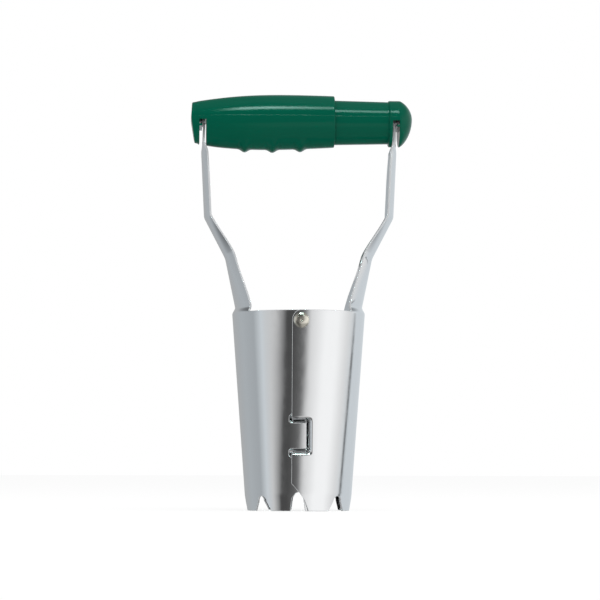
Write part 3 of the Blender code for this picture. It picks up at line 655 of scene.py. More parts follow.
@dataclass
class RivetForm:
    """Domed rivet with a centre dimple, along its own Z with the outer sheet's middle at its origin."""

    head_radius: float = 0.00425
    head_height: float = 0.00187
    head_base: float = 0.00235
    brim: float = 0.0002
    dimple_radius: float = 0.0007
    dimple_depth: float = 0.0004
    shank_radius: float = 0.002
    tail_radius: float = 0.0034
    tail_height: float = 0.0012
    tail_base: float = -0.00135

    def skin(self) -> Skin:
        """Turned profile: a dimple, an elliptic dome over a short brim, the shank and a flatter tail."""
        turn = np.linspace(0, math.pi / 2, 8)
        hollow = self.dimple_radius * np.sin(turn), self.dimple_depth * (1 - np.cos(turn))
        top = self.head_base + self.head_height
        dimple = np.stack([hollow[0], top - self.dimple_depth + hollow[1]], axis=1)
        turn = np.linspace(math.pi / 2, 0, 18)[1:]
        rise = self.head_height - self.brim
        reach = self.head_radius - self.dimple_radius
        level = self.head_base + self.brim + rise * np.sin(turn)
        dome = np.stack([self.dimple_radius + reach * np.cos(turn), level], axis=1)
        under = np.array([[self.head_radius, self.head_base], [self.shank_radius, self.head_base],
                          [self.shank_radius, self.tail_base], [self.tail_radius, self.tail_base]])
        turn = np.linspace(0, math.pi / 2, 8)[1:]
        level = self.tail_base - self.tail_height * np.sin(turn)
        tail = np.stack([self.tail_radius * np.cos(turn), level], axis=1)
        profile = resampled(np.concatenate([dimple, dome, under, tail]), 0.25 * MM)
        ahead = np.gradient(profile, axis=0)
        facing = unit(np.stack([-ahead[:, 1], ahead[:, 0]], axis=1))
        turn = np.linspace(0, math.tau, 49)[:, None]
        level = np.zeros_like(turn)
        points = [np.cos(turn) * profile[:, 0], np.sin(turn) * profile[:, 0], level + profile[:, 1]]
        normals = [np.cos(turn) * facing[:, 0], np.sin(turn) * facing[:, 0], level + facing[:, 1]]
        skin = Skin()
        skin.add_grid(np.stack(points, axis=-1), np.stack(normals, axis=-1))
        return skin


@dataclass
class Barrel:
    """A moulded grip turned about X, with a slot cut up into it from below for the arm's blade.

    The turned profile has three stretches of (x, radius) points: before, side and after. The side
    carries the slot. Its pattern point (u, v) is at the length u along it and at the angle
    v / pattern_radius from straight down, positive in front.
    """

    before: Array
    side: Array
    after: Array
    slot: list[tuple[float, float]]
    axis_height: float = 0.213
    edge_radius: float = 0.0004
    pattern_radius: float = 0.013
    spacing: float = 0.001

    def relief(self, place: Array, angle: Array) -> Array:
        """How far the side rises above its turned form."""
        return np.zeros_like(place)

    def draft(self, place: Array, rise: Array) -> Array:
        """How far a point is moved along the axis, by its height above the axis."""
        return np.zeros_like(place)

    def lift(self, place: Array, radius: Array) -> Array:
        """How far a ring of the profile lies above the handle's axis."""
        return np.zeros_like(place)

    def face(self, profile: Array, pattern: Array) -> Array:
        """Points of a stretch: (x + draft, -r sin a, axis + lift - r cos a), with the relief added to r."""
        lengths = path_lengths(profile)
        place = np.interp(pattern[:, 0], lengths, profile[:, 0])
        radius = np.interp(pattern[:, 0], lengths, profile[:, 1])
        angle = pattern[:, 1] / self.pattern_radius
        lift = self.lift(place, radius)
        if profile is self.side:
            radius = radius + self.relief(place, angle)
        rise = lift - radius * np.cos(angle)
        moved = place + self.draft(place, rise)
        return np.stack([moved, -radius * np.sin(angle), self.axis_height + rise], axis=1)

    def slot_loop(self) -> Array:
        """Outline of the slot on the side: up in front, over, down, and the same behind."""
        section = np.array(self.slot)
        order = np.argsort(self.side[:, 0])
        lengths = path_lengths(self.side)
        along = np.interp(section[:, 0], self.side[order, 0], lengths[order])
        radius = np.interp(section[:, 0], self.side[order, 0], self.side[order, 1])
        level = self.axis_height + self.lift(section[:, 0], radius)
        angle = np.arccos(np.clip((level - section[:, 1]) / radius, -1, 1))
        front = resampled(np.stack([along, angle * self.pattern_radius], axis=1), 0.5 * MM)
        return np.concatenate([front, front[::-1][1:-1] * (1, -1)])

    def skin(self) -> Skin:
        """The turned face, the slot's rounded rim and its walls, which run straight through."""
        skin = Skin()
        half_turn = math.pi * self.pattern_radius
        ring = np.linspace(-half_turn, half_turn, math.ceil(2 * half_turn / self.spacing) + 1)
        for profile in (self.before, self.after):
            along, around = np.meshgrid(path_lengths(profile), ring, indexing="ij")
            pattern = np.stack([along.ravel(), around.ravel()], axis=1)
            surface = partial(self.face, profile)
            shape = (*along.shape, 3)
            facing = surface_normals(surface, pattern)
            skin.add_grid(surface(pattern).reshape(shape), facing.reshape(shape))

        surface = partial(self.face, self.side)
        end = path_lengths(self.side)[-1]
        corners = np.array([(0, -half_turn), (end, -half_turn), (end, half_turn), (0, half_turn)])
        border = closed_loop([corners], self.spacing)
        loop = self.slot_loop()
        flat, triangles = Pattern([border, loop], self.spacing).filled()
        points, normals = surface(flat), surface_normals(surface, flat)
        rim = slice(len(border), len(border) + len(loop))
        ahead = np.roll(loop, -1, axis=0) - loop
        turning = (loop[:, 0] * ahead[:, 1] - loop[:, 1] * ahead[:, 0]).sum()
        chord = np.roll(points[rim], -1, axis=0) - np.roll(points[rim], 1, axis=0)
        into = unit(np.cross(normals[rim], chord)) * math.copysign(1, turning)
        turn = np.linspace(0, math.pi / 2, 5)[:, None, None]
        back, down = self.edge_radius * (1 - np.sin(turn)), self.edge_radius * (1 - np.cos(turn))
        rows = points[rim] - into * back - normals[rim] * down
        facing = into * np.sin(turn) + normals[rim] * np.cos(turn)
        points[rim] = rows[0]
        skin.add(points, normals, triangles)
        around = [*range(len(loop)), 0]
        skin.add_grid(rows[:, around], facing[:, around])
        front = slice(0, len(loop) // 2 + 1)
        wall = rows[-1][front]
        skin.add_grid(np.stack([wall, wall * (1, -1, 1)]), np.stack([facing[-1][front]] * 2))
        return skin


def path_lengths(points: Array) -> Array:
    """Length along a line at each of its points."""
    return np.concatenate([[0.0], np.cumsum(np.linalg.norm(np.diff(points, axis=0), axis=1))])


@dataclass
class OuterGrip(Barrel):
    """Outer grip: barrel with three finger ridges, a closed left end and a bore open to the right."""

    before: Array = None
    side: Array = None
    after: Array = None
    slot: list[tuple[float, float]] = None
    end: float = -0.05953
    mouth: float = 0.01945
    end_radius: float = 0.0112
    belly_radius: float = 0.0152
    mouth_radius: float = 0.01425
    belly_share: float = 0.58
    end_curve: float = 2.2
    mouth_curve: float = 1.6
    edge_round: float = 0.0008
    mouth_lift: float = 0.00098
    lift_start: float = -0.045
    bore: float = 0.0127
    bore_end: float = -0.04175
    bore_lift: float = 0.0005
    slide_gap: float = 0.0004
    draft_start: float = -0.0556
    draft_full: float = -0.0575
    end_draft: float = 0.15
    top_draft: float = 0.06
    parting_rise: float = 0.0018
    ridge_offset: float = 0.0146
    ridge_spacing: float = 0.0154
    ridge_width: float = 0.0076
    ridge_height: float = 0.0016
    ridge_spread: float = math.radians(50)

    def __post_init__(self) -> None:
        """Set out the profile and the slot's section."""
        start, stop = self.end + self.edge_round * 1.2, self.mouth - self.edge_round
        place = np.linspace(start, stop, 160)
        self.side = np.stack([place, self.radius(place)], axis=1)
        first, last = self.side[0], self.side[-1]
        edge = self.radius(np.array([self.end]))[0]
        closed = [(self.end, 0.0), (self.end, edge), tuple(first)]
        self.before = rounded_path(closed, [self.edge_round * 0.9], 0.3 * MM)
        opened = [tuple(last), (self.mouth, last[1]), (self.mouth, self.bore),
                  (self.bore_end, self.bore - self.slide_gap), (self.bore_end, 0.0)]
        rounds = [self.edge_round * 0.7, self.edge_round * 0.3, self.edge_round]
        self.after = rounded_path(opened, rounds, 0.5 * MM)
        self.slot = slot_section(-1, self.radius, self.axis_height)

    def radius(self, place: Array) -> Array:
        """Belly radius less a power of the share of the way to the closed end, or to the mouth."""
        belly = self.end + (self.mouth - self.end) * self.belly_share
        left = np.clip((belly - place) / (belly - self.end), 0, 1) ** self.end_curve
        right = np.clip((place - belly) / (self.mouth - belly), 0, 1) ** self.mouth_curve
        to_end, to_mouth = self.belly_radius - self.end_radius, self.belly_radius - self.mouth_radius
        return self.belly_radius - (to_end * left + to_mouth * right)

    def relief(self, place: Array, angle: Array) -> Array:
        """Three smooth ridges below, which fade up both flanks."""
        centres = -self.ridge_offset + self.ridge_spacing * np.array([[-1.0], [0.0], [1.0]])
        rise = ease(1 - np.abs(place - centres) * 2 / self.ridge_width).sum(axis=0)
        return self.ridge_height * rise * ease(2 - np.abs(angle) * 2 / self.ridge_spread)

    def lift(self, place: Array, radius: Array) -> Array:
        """The outside rises evenly to the mouth, where the bore rises half as much."""
        outside = self.mouth_lift * np.clip((place - self.lift_start) / (self.mouth - self.lift_start), 0, 1)
        share = ease((radius - self.bore) / self.edge_round)
        lifted = blend(self.bore_lift, outside, share)
        return np.where(place > self.bore_end - self.slide_gap, lifted, outside)

    def draft(self, place: Array, rise: Array) -> Array:
        """The closed end leans in from the parting line, more below it than above."""
        below = np.maximum(self.parting_rise - rise, 0.0) * self.end_draft
        above = np.maximum(rise - self.parting_rise, 0.0) * self.top_draft
        fade = ease((self.draft_start - place) / (self.draft_start - self.draft_full))
        return (below + above) * fade


@dataclass
class InnerGrip(Barrel):
    """Inner grip: a hollow sleeve that slides in the outer grip, and a domed collar on the right arm."""

    before: Array = None
    side: Array = None
    after: Array = None
    slot: list[tuple[float, float]] = None
    sleeve_start: float = -0.01255
    sleeve_radius: float = 0.0123
    sleeve_lift: float = 0.0005
    widest: float = 0.01945
    neck_radius: float = 0.01165
    start_radius: float = 0.01125
    lead: float = 0.002
    hollow: float = 0.00965
    hollow_end: float = 0.04675
    collar_start: float = 0.04925
    collar_radius: float = 0.0128
    collar_round: float = 0.0008
    collar_edge: float = 0.05555
    collar_end: float = 0.06255
    dome_curve: float = 1.9
    dome_shoulder: float = 1.25
    dome_rise: float = 0.0024

    def __post_init__(self) -> None:
        """Set out the profile and the slot's section."""
        side_start = self.collar_start + self.collar_round
        sleeve = [
            (self.hollow_end, 0.0),
            (self.hollow_end, self.hollow),
            (self.sleeve_start, self.hollow),
            (self.sleeve_start, self.start_radius),
            (self.sleeve_start + self.lead, self.neck_radius),
            (self.widest, self.sleeve_radius),
            (self.collar_start, self.neck_radius),
            (self.collar_start, self.collar_radius),
            (side_start, self.collar_radius),
        ]
        rounds = [0.5 * MM, 0.3 * MM, 0.3 * MM, 1 * MM, 30 * MM, 0.25 * MM, self.collar_round * 0.9]
        self.before = rounded_path(sleeve, rounds, 0.5 * MM)
        rim = np.array([(side_start, self.collar_radius), (self.collar_edge, self.collar_radius)])
        self.side = resampled(rim, 0.5 * MM)
        share = np.linspace(0, 1, 26)
        dome = self.collar_edge + (self.collar_end - self.collar_edge) * (1 - (1 - share) ** self.dome_curve)
        self.after = np.stack([dome, self.collar_radius * (1 - share ** self.dome_shoulder)], axis=1)
        self.slot = slot_section(1, lambda place: np.full_like(place, self.collar_radius), self.axis_height)

    def lift(self, place: Array, radius: Array) -> Array:
        """The sleeve lies higher than the collar, and the dome's middle higher than its edge."""
        face = 1 - ease((radius - self.neck_radius) / (self.collar_radius - self.neck_radius))
        collar = np.where(place > self.collar_start + 0.1 * MM, 0.0, self.sleeve_lift * face)
        sleeve = np.where(place < self.collar_start - 0.1 * MM, self.sleeve_lift, collar)
        return np.where(place > self.collar_edge, self.dome_rise * (1 - radius / self.collar_radius), sleeve)


def slot_section(direction: int, radius: Surface, axis_height: float) -> list[tuple[float, float]]:
    """Section of a grip's slot from its mouth up the seat, over the roof and down past the nib.

    Args:
        direction: 1 for the right grip, -1 for the left one.
        radius: outer radius of the grip at a place along the axis.
        axis_height: height of the handle's axis.

    Returns:
        Corners (x, z) of the section.
    """
    inner, outer, nib = 0.05125, 0.05495, 0.05345
    roof, nib_top, nib_bottom = 0.2137, 0.2113, 0.21
    bottoms = [axis_height - float(radius(np.array([direction * reach]))[0]) for reach in (inner, outer)]
    corners = [(inner, bottoms[0]), (inner, roof), (outer, roof), (outer, nib_top), (nib, nib_top),
               (nib, nib_bottom), (outer, nib_bottom), (outer, bottoms[1])]
    return [(direction * reach, height) for reach, height in corners]


@dataclass
class Spring:
    """Compression spring of round wire along X, hidden in the handle."""

    start: float = -0.04065
    end: float = 0.04565
    coil_radius: float = 0.0084
    wire_radius: float = 0.0008
    turns: int = 13
    axis_height: float = 0.2135

    def skin(self) -> Skin:
        """Wire swept along a helix, with a rounded cap at both ends."""
        along = np.linspace(0, 1, self.turns * 28 + 1)
        angle = along * self.turns * math.tau
        spoke = np.stack([np.zeros_like(angle), np.sin(angle), np.cos(angle)], axis=1)
        middle = spoke * self.coil_radius
        middle[:, 0] = blend(self.start, self.end, along)
        middle[:, 2] += self.axis_height
        tangent = unit(np.gradient(middle, axis=0))
        side = unit(np.cross(tangent, spoke))
        narrow = [0.0, 0.7, *np.ones(len(middle)), 0.7, 0.0]
        rows = [0, 0, *range(len(middle)), -1, -1]
        turn = np.linspace(0, math.tau, 13)[:, None]
        facing = np.cos(turn) * spoke[rows][:, None] + np.sin(turn) * side[rows][:, None]
        points = middle[rows][:, None] + facing * (np.array(narrow) * self.wire_radius)[:, None, None]
        skin = Skin()
        skin.add_grid(points, facing)
        return skin


class Tree:
    """A material's or world's node tree, with one short way to add a node."""

    def __init__(self, owner: bpy.types.ID) -> None:
        """Empty the owner's tree."""
        owner.use_nodes = True
        self.nodes, self.links = owner.node_tree.nodes, owner.node_tree.links
        self.nodes.clear()

    def add(self, kind: str, inputs: dict | None = None, **settings: object) -> bpy.types.Node:
        """Add a node, set its properties, and give each named or numbered input a value or a link."""
        node = self.nodes.new("ShaderNode" + kind)
        for name, value in settings.items():
            setattr(node, name, value)
        for name, value in (inputs or {}).items():
            if isinstance(value, bpy.types.NodeSocket):
                self.links.new(value, node.inputs[name])
            else:
                node.inputs[name].default_value = value
        return node

    def math(self, operation: str, *values: object) -> bpy.types.NodeSocket:
        """Result of a math node."""
        return self.add("Math", dict(enumerate(values)), operation=operation).outputs[0]

    def noise(
        self, place: bpy.types.NodeSocket, size: tuple[float, float, float], detail: float
    ) -> bpy.types.NodeSocket:
        """Noise whose features have the given sizes in metres along X, Y and Z."""
        scaled = self.add("Mapping", {"Vector": place, "Scale": [1 / length for length in size]})
        noise = self.add("TexNoise", {"Vector": scaled.outputs[0], "Scale": 1.0, "Detail": detail})
        return noise.outputs["Fac"]

    def between(
        self, value: object, levels: tuple[float, float], results: tuple[float, float]
    ) -> bpy.types.NodeSocket:
        """Value taken smoothly from a range of levels to a range of results."""
        limits = zip(("From Min", "From Max", "To Min", "To Max"), (*levels, *results))
        inputs = {"Value": value, **dict(limits)}
        return self.add("MapRange", inputs, interpolation_type="SMOOTHSTEP").outputs["Result"]


def linear(colour: str) -> tuple[float, float, float, float]:
    """Linear colour of an sRGB hex colour such as "#02553F"."""
    shares = [int(colour[start:start + 2], 16) / 255 for start in (1, 3, 5)]
    return (*[s / 12.92 if s <= 0.04045 else ((s + 0.055) / 1.055) ** 2.4 for s in shares], 1.0)


@dataclass(frozen=True)
class Finish:
    """A finish that can be made into a node material."""

    name: str
    colour: str
    roughness: float

    def material(self) -> bpy.types.Material:
        """Make the material."""
        made = bpy.data.materials.new(self.name)
        tree = Tree(made)
        place = tree.add("TexCoord").outputs["Object"]
        shader = self.shader(tree, place)
        tree.add("OutputMaterial", {"Surface": shader.outputs[0]})
        return made

    def shader(self, tree: Tree, place: bpy.types.NodeSocket) -> bpy.types.Node:
        """Shader of the finish."""
        raise NotImplementedError


@dataclass(frozen=True)
class Metal(Finish):
    """Plated or drawn steel with fine marks along Z and broad waves left by the press."""

    mark: tuple[float, float, float] = (0.00035, 0.00035, 0.03)
    mark_height: float = 0.0000012
    wave: float = 0.018
    wave_height: float = 0.00008
    uneven: float = 0.05
    metallic: float = 1.0

    def shader(self, tree: Tree, place: bpy.types.NodeSocket) -> bpy.types.Node:
        """Metal whose roughness and surface follow the marks and the waves."""
        marks = tree.noise(place, self.mark, 3.0)
        waves = tree.noise(place, (self.wave, self.wave, self.wave * 2), 1.0)
        spots = tree.noise(place, (0.004, 0.004, 0.006), 2.0)
        broad = tree.add("Bump", {"Height": waves, "Distance": self.wave_height, "Strength": 1.0})
        fine = tree.add("Bump", {
            "Height": marks, "Distance": self.mark_height, "Strength": 1.0, "Normal": broad.outputs[0],
        })
        rough = tree.between(spots, (0.3, 0.7), (self.roughness - self.uneven, self.roughness + self.uneven))
        return tree.add("BsdfPrincipled", {
            "Base Color": linear(self.colour), "Metallic": self.metallic, "Roughness": rough,
            "Normal": fine.outputs[0],
        })


@dataclass(frozen=True)
class Plastic(Finish):
    """Glossy moulded plastic with a slight orange peel and a parting line at one height."""

    peel: float = 0.0016
    peel_height: float = 0.000012
    parting_height: float = 0.2157
    parting_width: float = 0.00018
    parting_rise: float = 0.00004
    specular: float = 0.1

    def shader(self, tree: Tree, place: bpy.types.NodeSocket) -> bpy.types.Node:
        """Plastic whose surface follows the peel and the parting line."""
        peel = tree.noise(place, (self.peel, self.peel, self.peel), 1.0)
        height = tree.add("SeparateXYZ", {0: place}).outputs["Z"]
        off = tree.math("ABSOLUTE", tree.math("SUBTRACT", height, self.parting_height))
        line = tree.between(off, (0.0, self.parting_width), (1.0, 0.0))
        peeled = tree.add("Bump", {"Height": peel, "Distance": self.peel_height, "Strength": 1.0})
        lined = tree.add("Bump", {
            "Height": line, "Distance": self.parting_rise, "Strength": 1.0, "Normal": peeled.outputs[0],
        })
        return tree.add("BsdfPrincipled", {
            "Base Color": linear(self.colour), "Roughness": self.roughness,
            "Specular IOR Level": self.specular, "Normal": lined.outputs[0],
        })


@dataclass(frozen=True)
class Palette:
    """The finishes of the planter."""

    # bright zinc plated cold rolled sheet
    zinc: Metal = Metal("zinc_plated_sheet", "#E3E4E5", 0.09, uneven=0.02)
    # sheared edge of the same sheet, plated over a rougher cut
    cut_edge: Metal = Metal(
        "zinc_plated_cut_edge", "#CACCCE", 0.7, mark=(0.0002, 0.0002, 0.0002), metallic=0.15
    )
    # nickel plated steel rivet, slightly warm
    rivet: Metal = Metal("nickel_plated_rivet", "#DCD8CC", 0.26, wave_height=0.00001)
    # green glossy injection moulded plastic
    plastic: Plastic = Plastic("green_moulded_plastic", "#01513E", 0.14)
    # drawn spring wire
    spring: Metal = Metal("drawn_spring_wire", "#A2A3A5", 0.35, wave_height=0.00001)


@dataclass
class Tube:
    """The sheet steel halves and the rivets they turn on."""

    half: TubeHalf = field(default_factory=TubeHalf)
    rivet: RivetForm = field(default_factory=RivetForm)
    half_offset: float = 0.00085
    middle_shift: float = 0.0015

    def half_place(self, side: Side) -> Matrix:
        """Placing of a half: the left one is the right one turned half a turn."""
        turn = Matrix.Rotation(0.0 if side is Side.RIGHT else math.pi, 4, "Z")
        middle = Matrix.Translation((-self.middle_shift, 0, 0))
        return middle @ turn @ Matrix.Translation((0, -self.half_offset, 0))

    def rivet_place(self, side: int) -> Matrix:
        """Placing of a rivet whose own Z points out of the tube, in front (-1) or behind (1)."""
        pivot = self.half.height - self.half.pivot_drop
        tilt = math.atan((self.half.rim_radius - self.half.tip_radius) / self.half.height)
        radius = float(self.half.cone(pivot)) - self.half.sheet
        lean = Matrix.Rotation(-side * (math.pi / 2 + tilt), 4, "X")
        return Matrix.Translation((-self.middle_shift, side * radius, pivot)) @ lean

    def build(self, zinc: list[bpy.types.Material], nickel: bpy.types.Material) -> None:
        """Make the four pieces and hand them to the frame."""
        skin = self.half.skin()
        for side, name in ((Side.RIGHT, "right_half"), (Side.LEFT, "left_half")):
            piece = skin.object(f"{name}_sheet", self.half_place(side), zinc)
            hand_over(piece, name, f"{name}_shell")
        skin = self.rivet.skin()
        for side, name in ((-1, "front_rivet"), (1, "back_rivet")):
            piece = skin.object(f"{name}_domed", self.rivet_place(side), [nickel])
            hand_over(piece, "pivot_rivets", name)


@dataclass
class Handle:
    """The two telescoping grips with the spring between them."""

    outer: OuterGrip = field(default_factory=OuterGrip)
    inner: InnerGrip = field(default_factory=InnerGrip)
    spring: Spring = field(default_factory=Spring)
    middle_shift: float = 0.0015
    spring_anchor: float = -0.04325
    spring_keep: float = 0.69

    def build(self, plastic: bpy.types.Material, wire: bpy.types.Material) -> None:
        """Make the three pieces and hand them to the frame."""
        place = Matrix.Translation((-self.middle_shift, 0, 0))
        outer = self.outer.skin().object("outer_grip_moulded", place, [plastic])
        hand_over(outer, "outer_handle", "outer_grip")
        inner = self.inner.skin().object("inner_grip_moulded", place, [plastic])
        hand_over(inner, "inner_handle", "inner_grip")
        spring = self.spring.skin().object("handle_spring_wire", place, [wire])
        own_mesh(spring)
        hand_over(spring, "outer_handle", "handle_spring")


def hand_over(piece: bpy.types.Object, body: str, node: str) -> None:
    """Let a finished piece ride on its body and stand for its solid."""
    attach(piece, body)
    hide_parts(node)


class LightTint(Enum):
    """Colours of the studio's light."""

    NEUTRAL = "#FFFFFF"
    COOL = "#F3FAFF"


@dataclass(frozen=True)
class Band:
    """Light seen in one direction round the camera: azimuth in degrees, level and tint."""

    azimuth: float
    level: float
    tint: LightTint


@dataclass
class Studio:
    """A white studio: bands of light and dark round the object, a strip overhead and a pale floor."""

    camera_azimuth: float = -2.5
    camera_elevation: float = -3.5
    camera_distance: float = 1.5
    camera_target: tuple[float, float, float] = (-0.00068, 0.0, 0.1154)
    camera_roll: float = 0.12
    camera_field: float = 0.33
    sensor: float = 36.0
    highest_level: float = 1.3
    diffuse_level: float = 0.9
    drift: float = 4.2
    drift_span: tuple[float, float] = (-64.0, -35.0)
    drift_level: float = -8.36
    drift_reach: tuple[float, float] = (-1.2, 3.4)
    line_azimuth: float = 104.4
    line_width: float = 3.4
    line_level: float = 0.24
    line_elevation: float = -5.4
    bands: tuple[Band, ...] = (
        Band(-180, 0.45, LightTint.NEUTRAL),
        Band(-118, 0.55, LightTint.COOL),
        Band(-86, 0.5, LightTint.COOL),
        Band(-69, 0.8, LightTint.COOL),
        Band(-54, 0.7, LightTint.NEUTRAL),
        Band(-38, 0.28, LightTint.NEUTRAL),
        Band(-33, 0.08, LightTint.NEUTRAL),
        Band(-20, 0.08, LightTint.NEUTRAL),
        Band(-3, 0.15, LightTint.NEUTRAL),
        Band(2, 0.28, LightTint.NEUTRAL),
        Band(9, 0.82, LightTint.NEUTRAL),
        Band(38, 1.15, LightTint.NEUTRAL),
        Band(62, 1.15, LightTint.NEUTRAL),
        Band(85, 0.88, LightTint.NEUTRAL),
        Band(110, 0.8, LightTint.COOL),
        Band(180, 0.75, LightTint.COOL),
    )
    strip: tuple[float, float] = (54.0, 62.0)
    strip_level: float = 37.0
    strip_tint: str = "#DCFFFC"
    strip_start: tuple[float, float] = (-17.0, -7.0)
    strip_fade: tuple[float, float] = (3.0, 19.0)
    strip_rest: float = 0.34
    strip_end: tuple[float, float] = (18.0, 25.0)
    ceiling_level: float = 0.2
    upper_share: float = 0.36
    below_level: float = 0.12
    ceiling_elevation: tuple[float, float] = (60.0, 85.0)
    below_elevation: tuple[float, float] = (-40.0, -24.0)
    band_elevation: tuple[float, float] = (18.0, 34.0)
    line_reach: tuple[float, float] = (3.2, 5.0)
    floor_colour: float = 0.9
    floor_glow: float = 0.82
    floor_reach: float = 6.0
    lamp_size: float = 1.2
    lamp_energy: float = 11.0
    lamp_place: tuple[float, float, float] = (0.3, -0.5, 1.6)

    def build(self) -> None:
        """Set up the camera, the world, the floor, the light and the view."""
        self.build_camera()
        self.build_world()
        self.build_floor()
        self.build_light()
        scene = bpy.context.scene
        scene.view_settings.view_transform = "Standard"

    def build_camera(self) -> None:
        """Camera at the photo's angle."""
        azimuth, elevation = math.radians(self.camera_azimuth), math.radians(self.camera_elevation)
        level = math.cos(elevation)
        back = Vector((math.sin(azimuth) * level, -math.cos(azimuth) * level, math.sin(elevation)))
        data = bpy.data.cameras.new("photo_camera")
        data.sensor_width = self.sensor
        data.lens = self.sensor * self.camera_distance / self.camera_field
        data.clip_start, data.clip_end = 0.01, 20
        camera = bpy.data.objects.new("photo_camera", data)
        camera.location = Vector(self.camera_target) + back * self.camera_distance
        aim = (-back).to_track_quat("-Z", "Y").to_matrix()
        camera.rotation_euler = (aim @ Matrix.Rotation(math.radians(self.camera_roll), 3, "Z")).to_euler()
        bpy.context.scene.collection.objects.link(camera)
        bpy.context.scene.camera = camera

    def build_world(self) -> None:
        """World: white to the camera, even to diffuse rays, and bands and strips to glossy rays."""
        world = bpy.data.worlds.new("studio")
        bpy.context.scene.world = world
        tree = Tree(world)
        direction = tree.add("TexCoord").outputs["Generated"]
        x, y, z = tree.add("SeparateXYZ", {0: direction}).outputs
        front = tree.math("MULTIPLY", y, -1.0)
        azimuth = tree.math("DEGREES", tree.math("ARCTAN2", x, front))
        azimuth = tree.math("SUBTRACT", azimuth, self.camera_azimuth)
        elevation = tree.math("DEGREES", tree.math("ARCSINE", z))
        plain = tree.math("COSINE", tree.math("MULTIPLY", azimuth, math.radians(0.5)))
        rise = tree.math("MULTIPLY_ADD", plain, -self.drift_level, elevation)
        rise = tree.math("MAXIMUM", tree.math("MINIMUM", rise, self.drift_reach[1]), self.drift_reach[0])
        drift = tree.math("MULTIPLY", rise, tree.between(azimuth, self.drift_span, (0.0, self.drift)))
        place = tree.math("SUBTRACT", azimuth, drift)
        share = tree.math("MULTIPLY_ADD", place, 1 / 360, 0.5)
        aside = tree.math("ABSOLUTE", tree.math("SUBTRACT", place, self.line_azimuth))
        line = tree.between(aside, (self.line_width - 2, self.line_width + 2), (1 - self.line_level, 0.0))
        apart = tree.math("ABSOLUTE", tree.math("SUBTRACT", elevation, self.line_elevation))
        line = tree.math("MULTIPLY", line, tree.between(apart, self.line_reach, (1.0, 0.0)))
        ramp = tree.add("ValToRGB", {"Fac": share})
        points = ramp.color_ramp.elements
        while len(points) < len(self.bands):
            points.new(0.5)
        for point, band in zip(points, self.bands):
            tint = np.array(linear(band.tint.value)[:3]) * band.level / self.highest_level
            point.position, point.color = band.azimuth / 360 + 0.5, (*tint, 1.0)
        tilt = tree.math("DEGREES", tree.math("ARCTAN2", z, front))
        lamp = tree.between(azimuth, self.strip_start, (0.0, self.strip_level))
        lamp = tree.math("MULTIPLY", lamp, tree.between(azimuth, self.strip_fade, (1.0, self.strip_rest)))
        lamp = tree.math("MULTIPLY", lamp, tree.between(azimuth, self.strip_end, (1.0, 0.0)))
        over = tree.between(tilt, (self.strip[0] - 4, self.strip[0] + 1), (0.0, 1.0))
        past = tree.between(tilt, (self.strip[1] - 1, self.strip[1] + 4), (1.0, 0.0))
        upward = tree.between(elevation, self.ceiling_elevation, (0.0, self.ceiling_level))
        below = tree.between(elevation, self.below_elevation, (self.below_level, 0.0))
        before = tree.between(front, (-0.1, 0.3), (0.0, 1.0))
        strip = tree.math("MULTIPLY", tree.math("MULTIPLY", over, past), lamp)
        around = tree.math("MULTIPLY_ADD", below, before, upward)
        levels = (self.highest_level, self.highest_level * self.upper_share)
        level = tree.between(tree.math("ABSOLUTE", elevation), self.band_elevation, levels)
        level = tree.math("MULTIPLY", level, tree.math("SUBTRACT", 1.0, line))
        banded = tree.add("Background", {"Color": ramp.outputs["Color"], "Strength": level})
        lamps = tree.add("Background", {"Color": linear(self.strip_tint), "Strength": strip})
        glow = tree.add("Background", {"Color": (1, 1, 1, 1), "Strength": around})
        studio = tree.add("AddShader", {0: banded.outputs[0], 1: lamps.outputs[0]})
        studio = tree.add("AddShader", {0: studio.outputs[0], 1: glow.outputs[0]})
        path = tree.add("LightPath")
        even = tree.add("Background", {"Color": (1, 1, 1, 1), "Strength": self.diffuse_level})
        glossy, seen = path.outputs["Is Glossy Ray"], path.outputs["Is Camera Ray"]
        lit = tree.add("MixShader", {0: glossy, 1: even.outputs[0], 2: studio.outputs[0]})
        white = tree.add("Background", {"Color": (1, 1, 1, 1), "Strength": 1.0})
        shown = tree.add("MixShader", {0: seen, 1: lit.outputs[0], 2: white.outputs[0]})
        tree.add("OutputWorld", {"Surface": shown.outputs[0]})

    def build_floor(self) -> None:
        """Pale floor that keeps a soft shadow: mostly its own white to the camera, and plain otherwise."""
        material = bpy.data.materials.new("pale_floor")
        tree = Tree(material)
        plain = tree.add("BsdfDiffuse", {"Color": (*[self.floor_colour] * 3, 1)})
        glow = tree.add("Emission", {"Color": (1, 1, 1, 1), "Strength": 1.0})
        seen = tree.add("MixShader", {0: self.floor_glow, 1: plain.outputs[0], 2: glow.outputs[0]})
        camera = tree.add("LightPath").outputs["Is Camera Ray"]
        mixed = tree.add("MixShader", {0: camera, 1: plain.outputs[0], 2: seen.outputs[0]})
        tree.add("OutputMaterial", {"Surface": mixed.outputs[0]})
        mesh = bpy.data.meshes.new("floor")
        corners = [(-1, -1), (1, -1), (1, 1), (-1, 1)]
        reach = self.floor_reach
        mesh.from_pydata([(x * reach, y * reach, 0) for x, y in corners], [], [(0, 1, 2, 3)])
        mesh.materials.append(material)
        floor = bpy.data.objects.new("floor", mesh)
        floor.visible_glossy = False
        bpy.context.scene.collection.objects.link(floor)

    def build_light(self) -> None:
        """Large soft light overhead, for the shadow and the soft shading."""
        data = bpy.data.lights.new("overhead", "AREA")
        data.shape, data.size, data.energy = "SQUARE", self.lamp_size, self.lamp_energy
        lamp = bpy.data.objects.new("overhead", data)
        lamp.location = self.lamp_place
        lamp.rotation_euler = (Vector(lamp.location)).to_track_quat("Z", "Y").to_euler()
        lamp.visible_glossy = False
        bpy.context.scene.collection.objects.link(lamp)


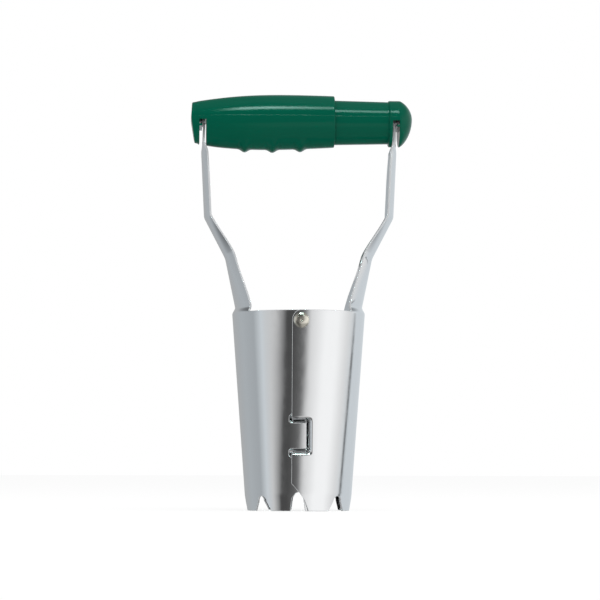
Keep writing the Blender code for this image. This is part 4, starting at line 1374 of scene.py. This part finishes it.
def main() -> None:
    """Build the finished planter round its frame."""
    logging.basicConfig(level=logging.INFO)
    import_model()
    palette = Palette()
    Tube().build([palette.zinc.material(), palette.cut_edge.material()], palette.rivet.material())
    Handle().build(palette.plastic.material(), palette.spring.material())
    Studio().build()


if __name__ == "__main__":
    main()
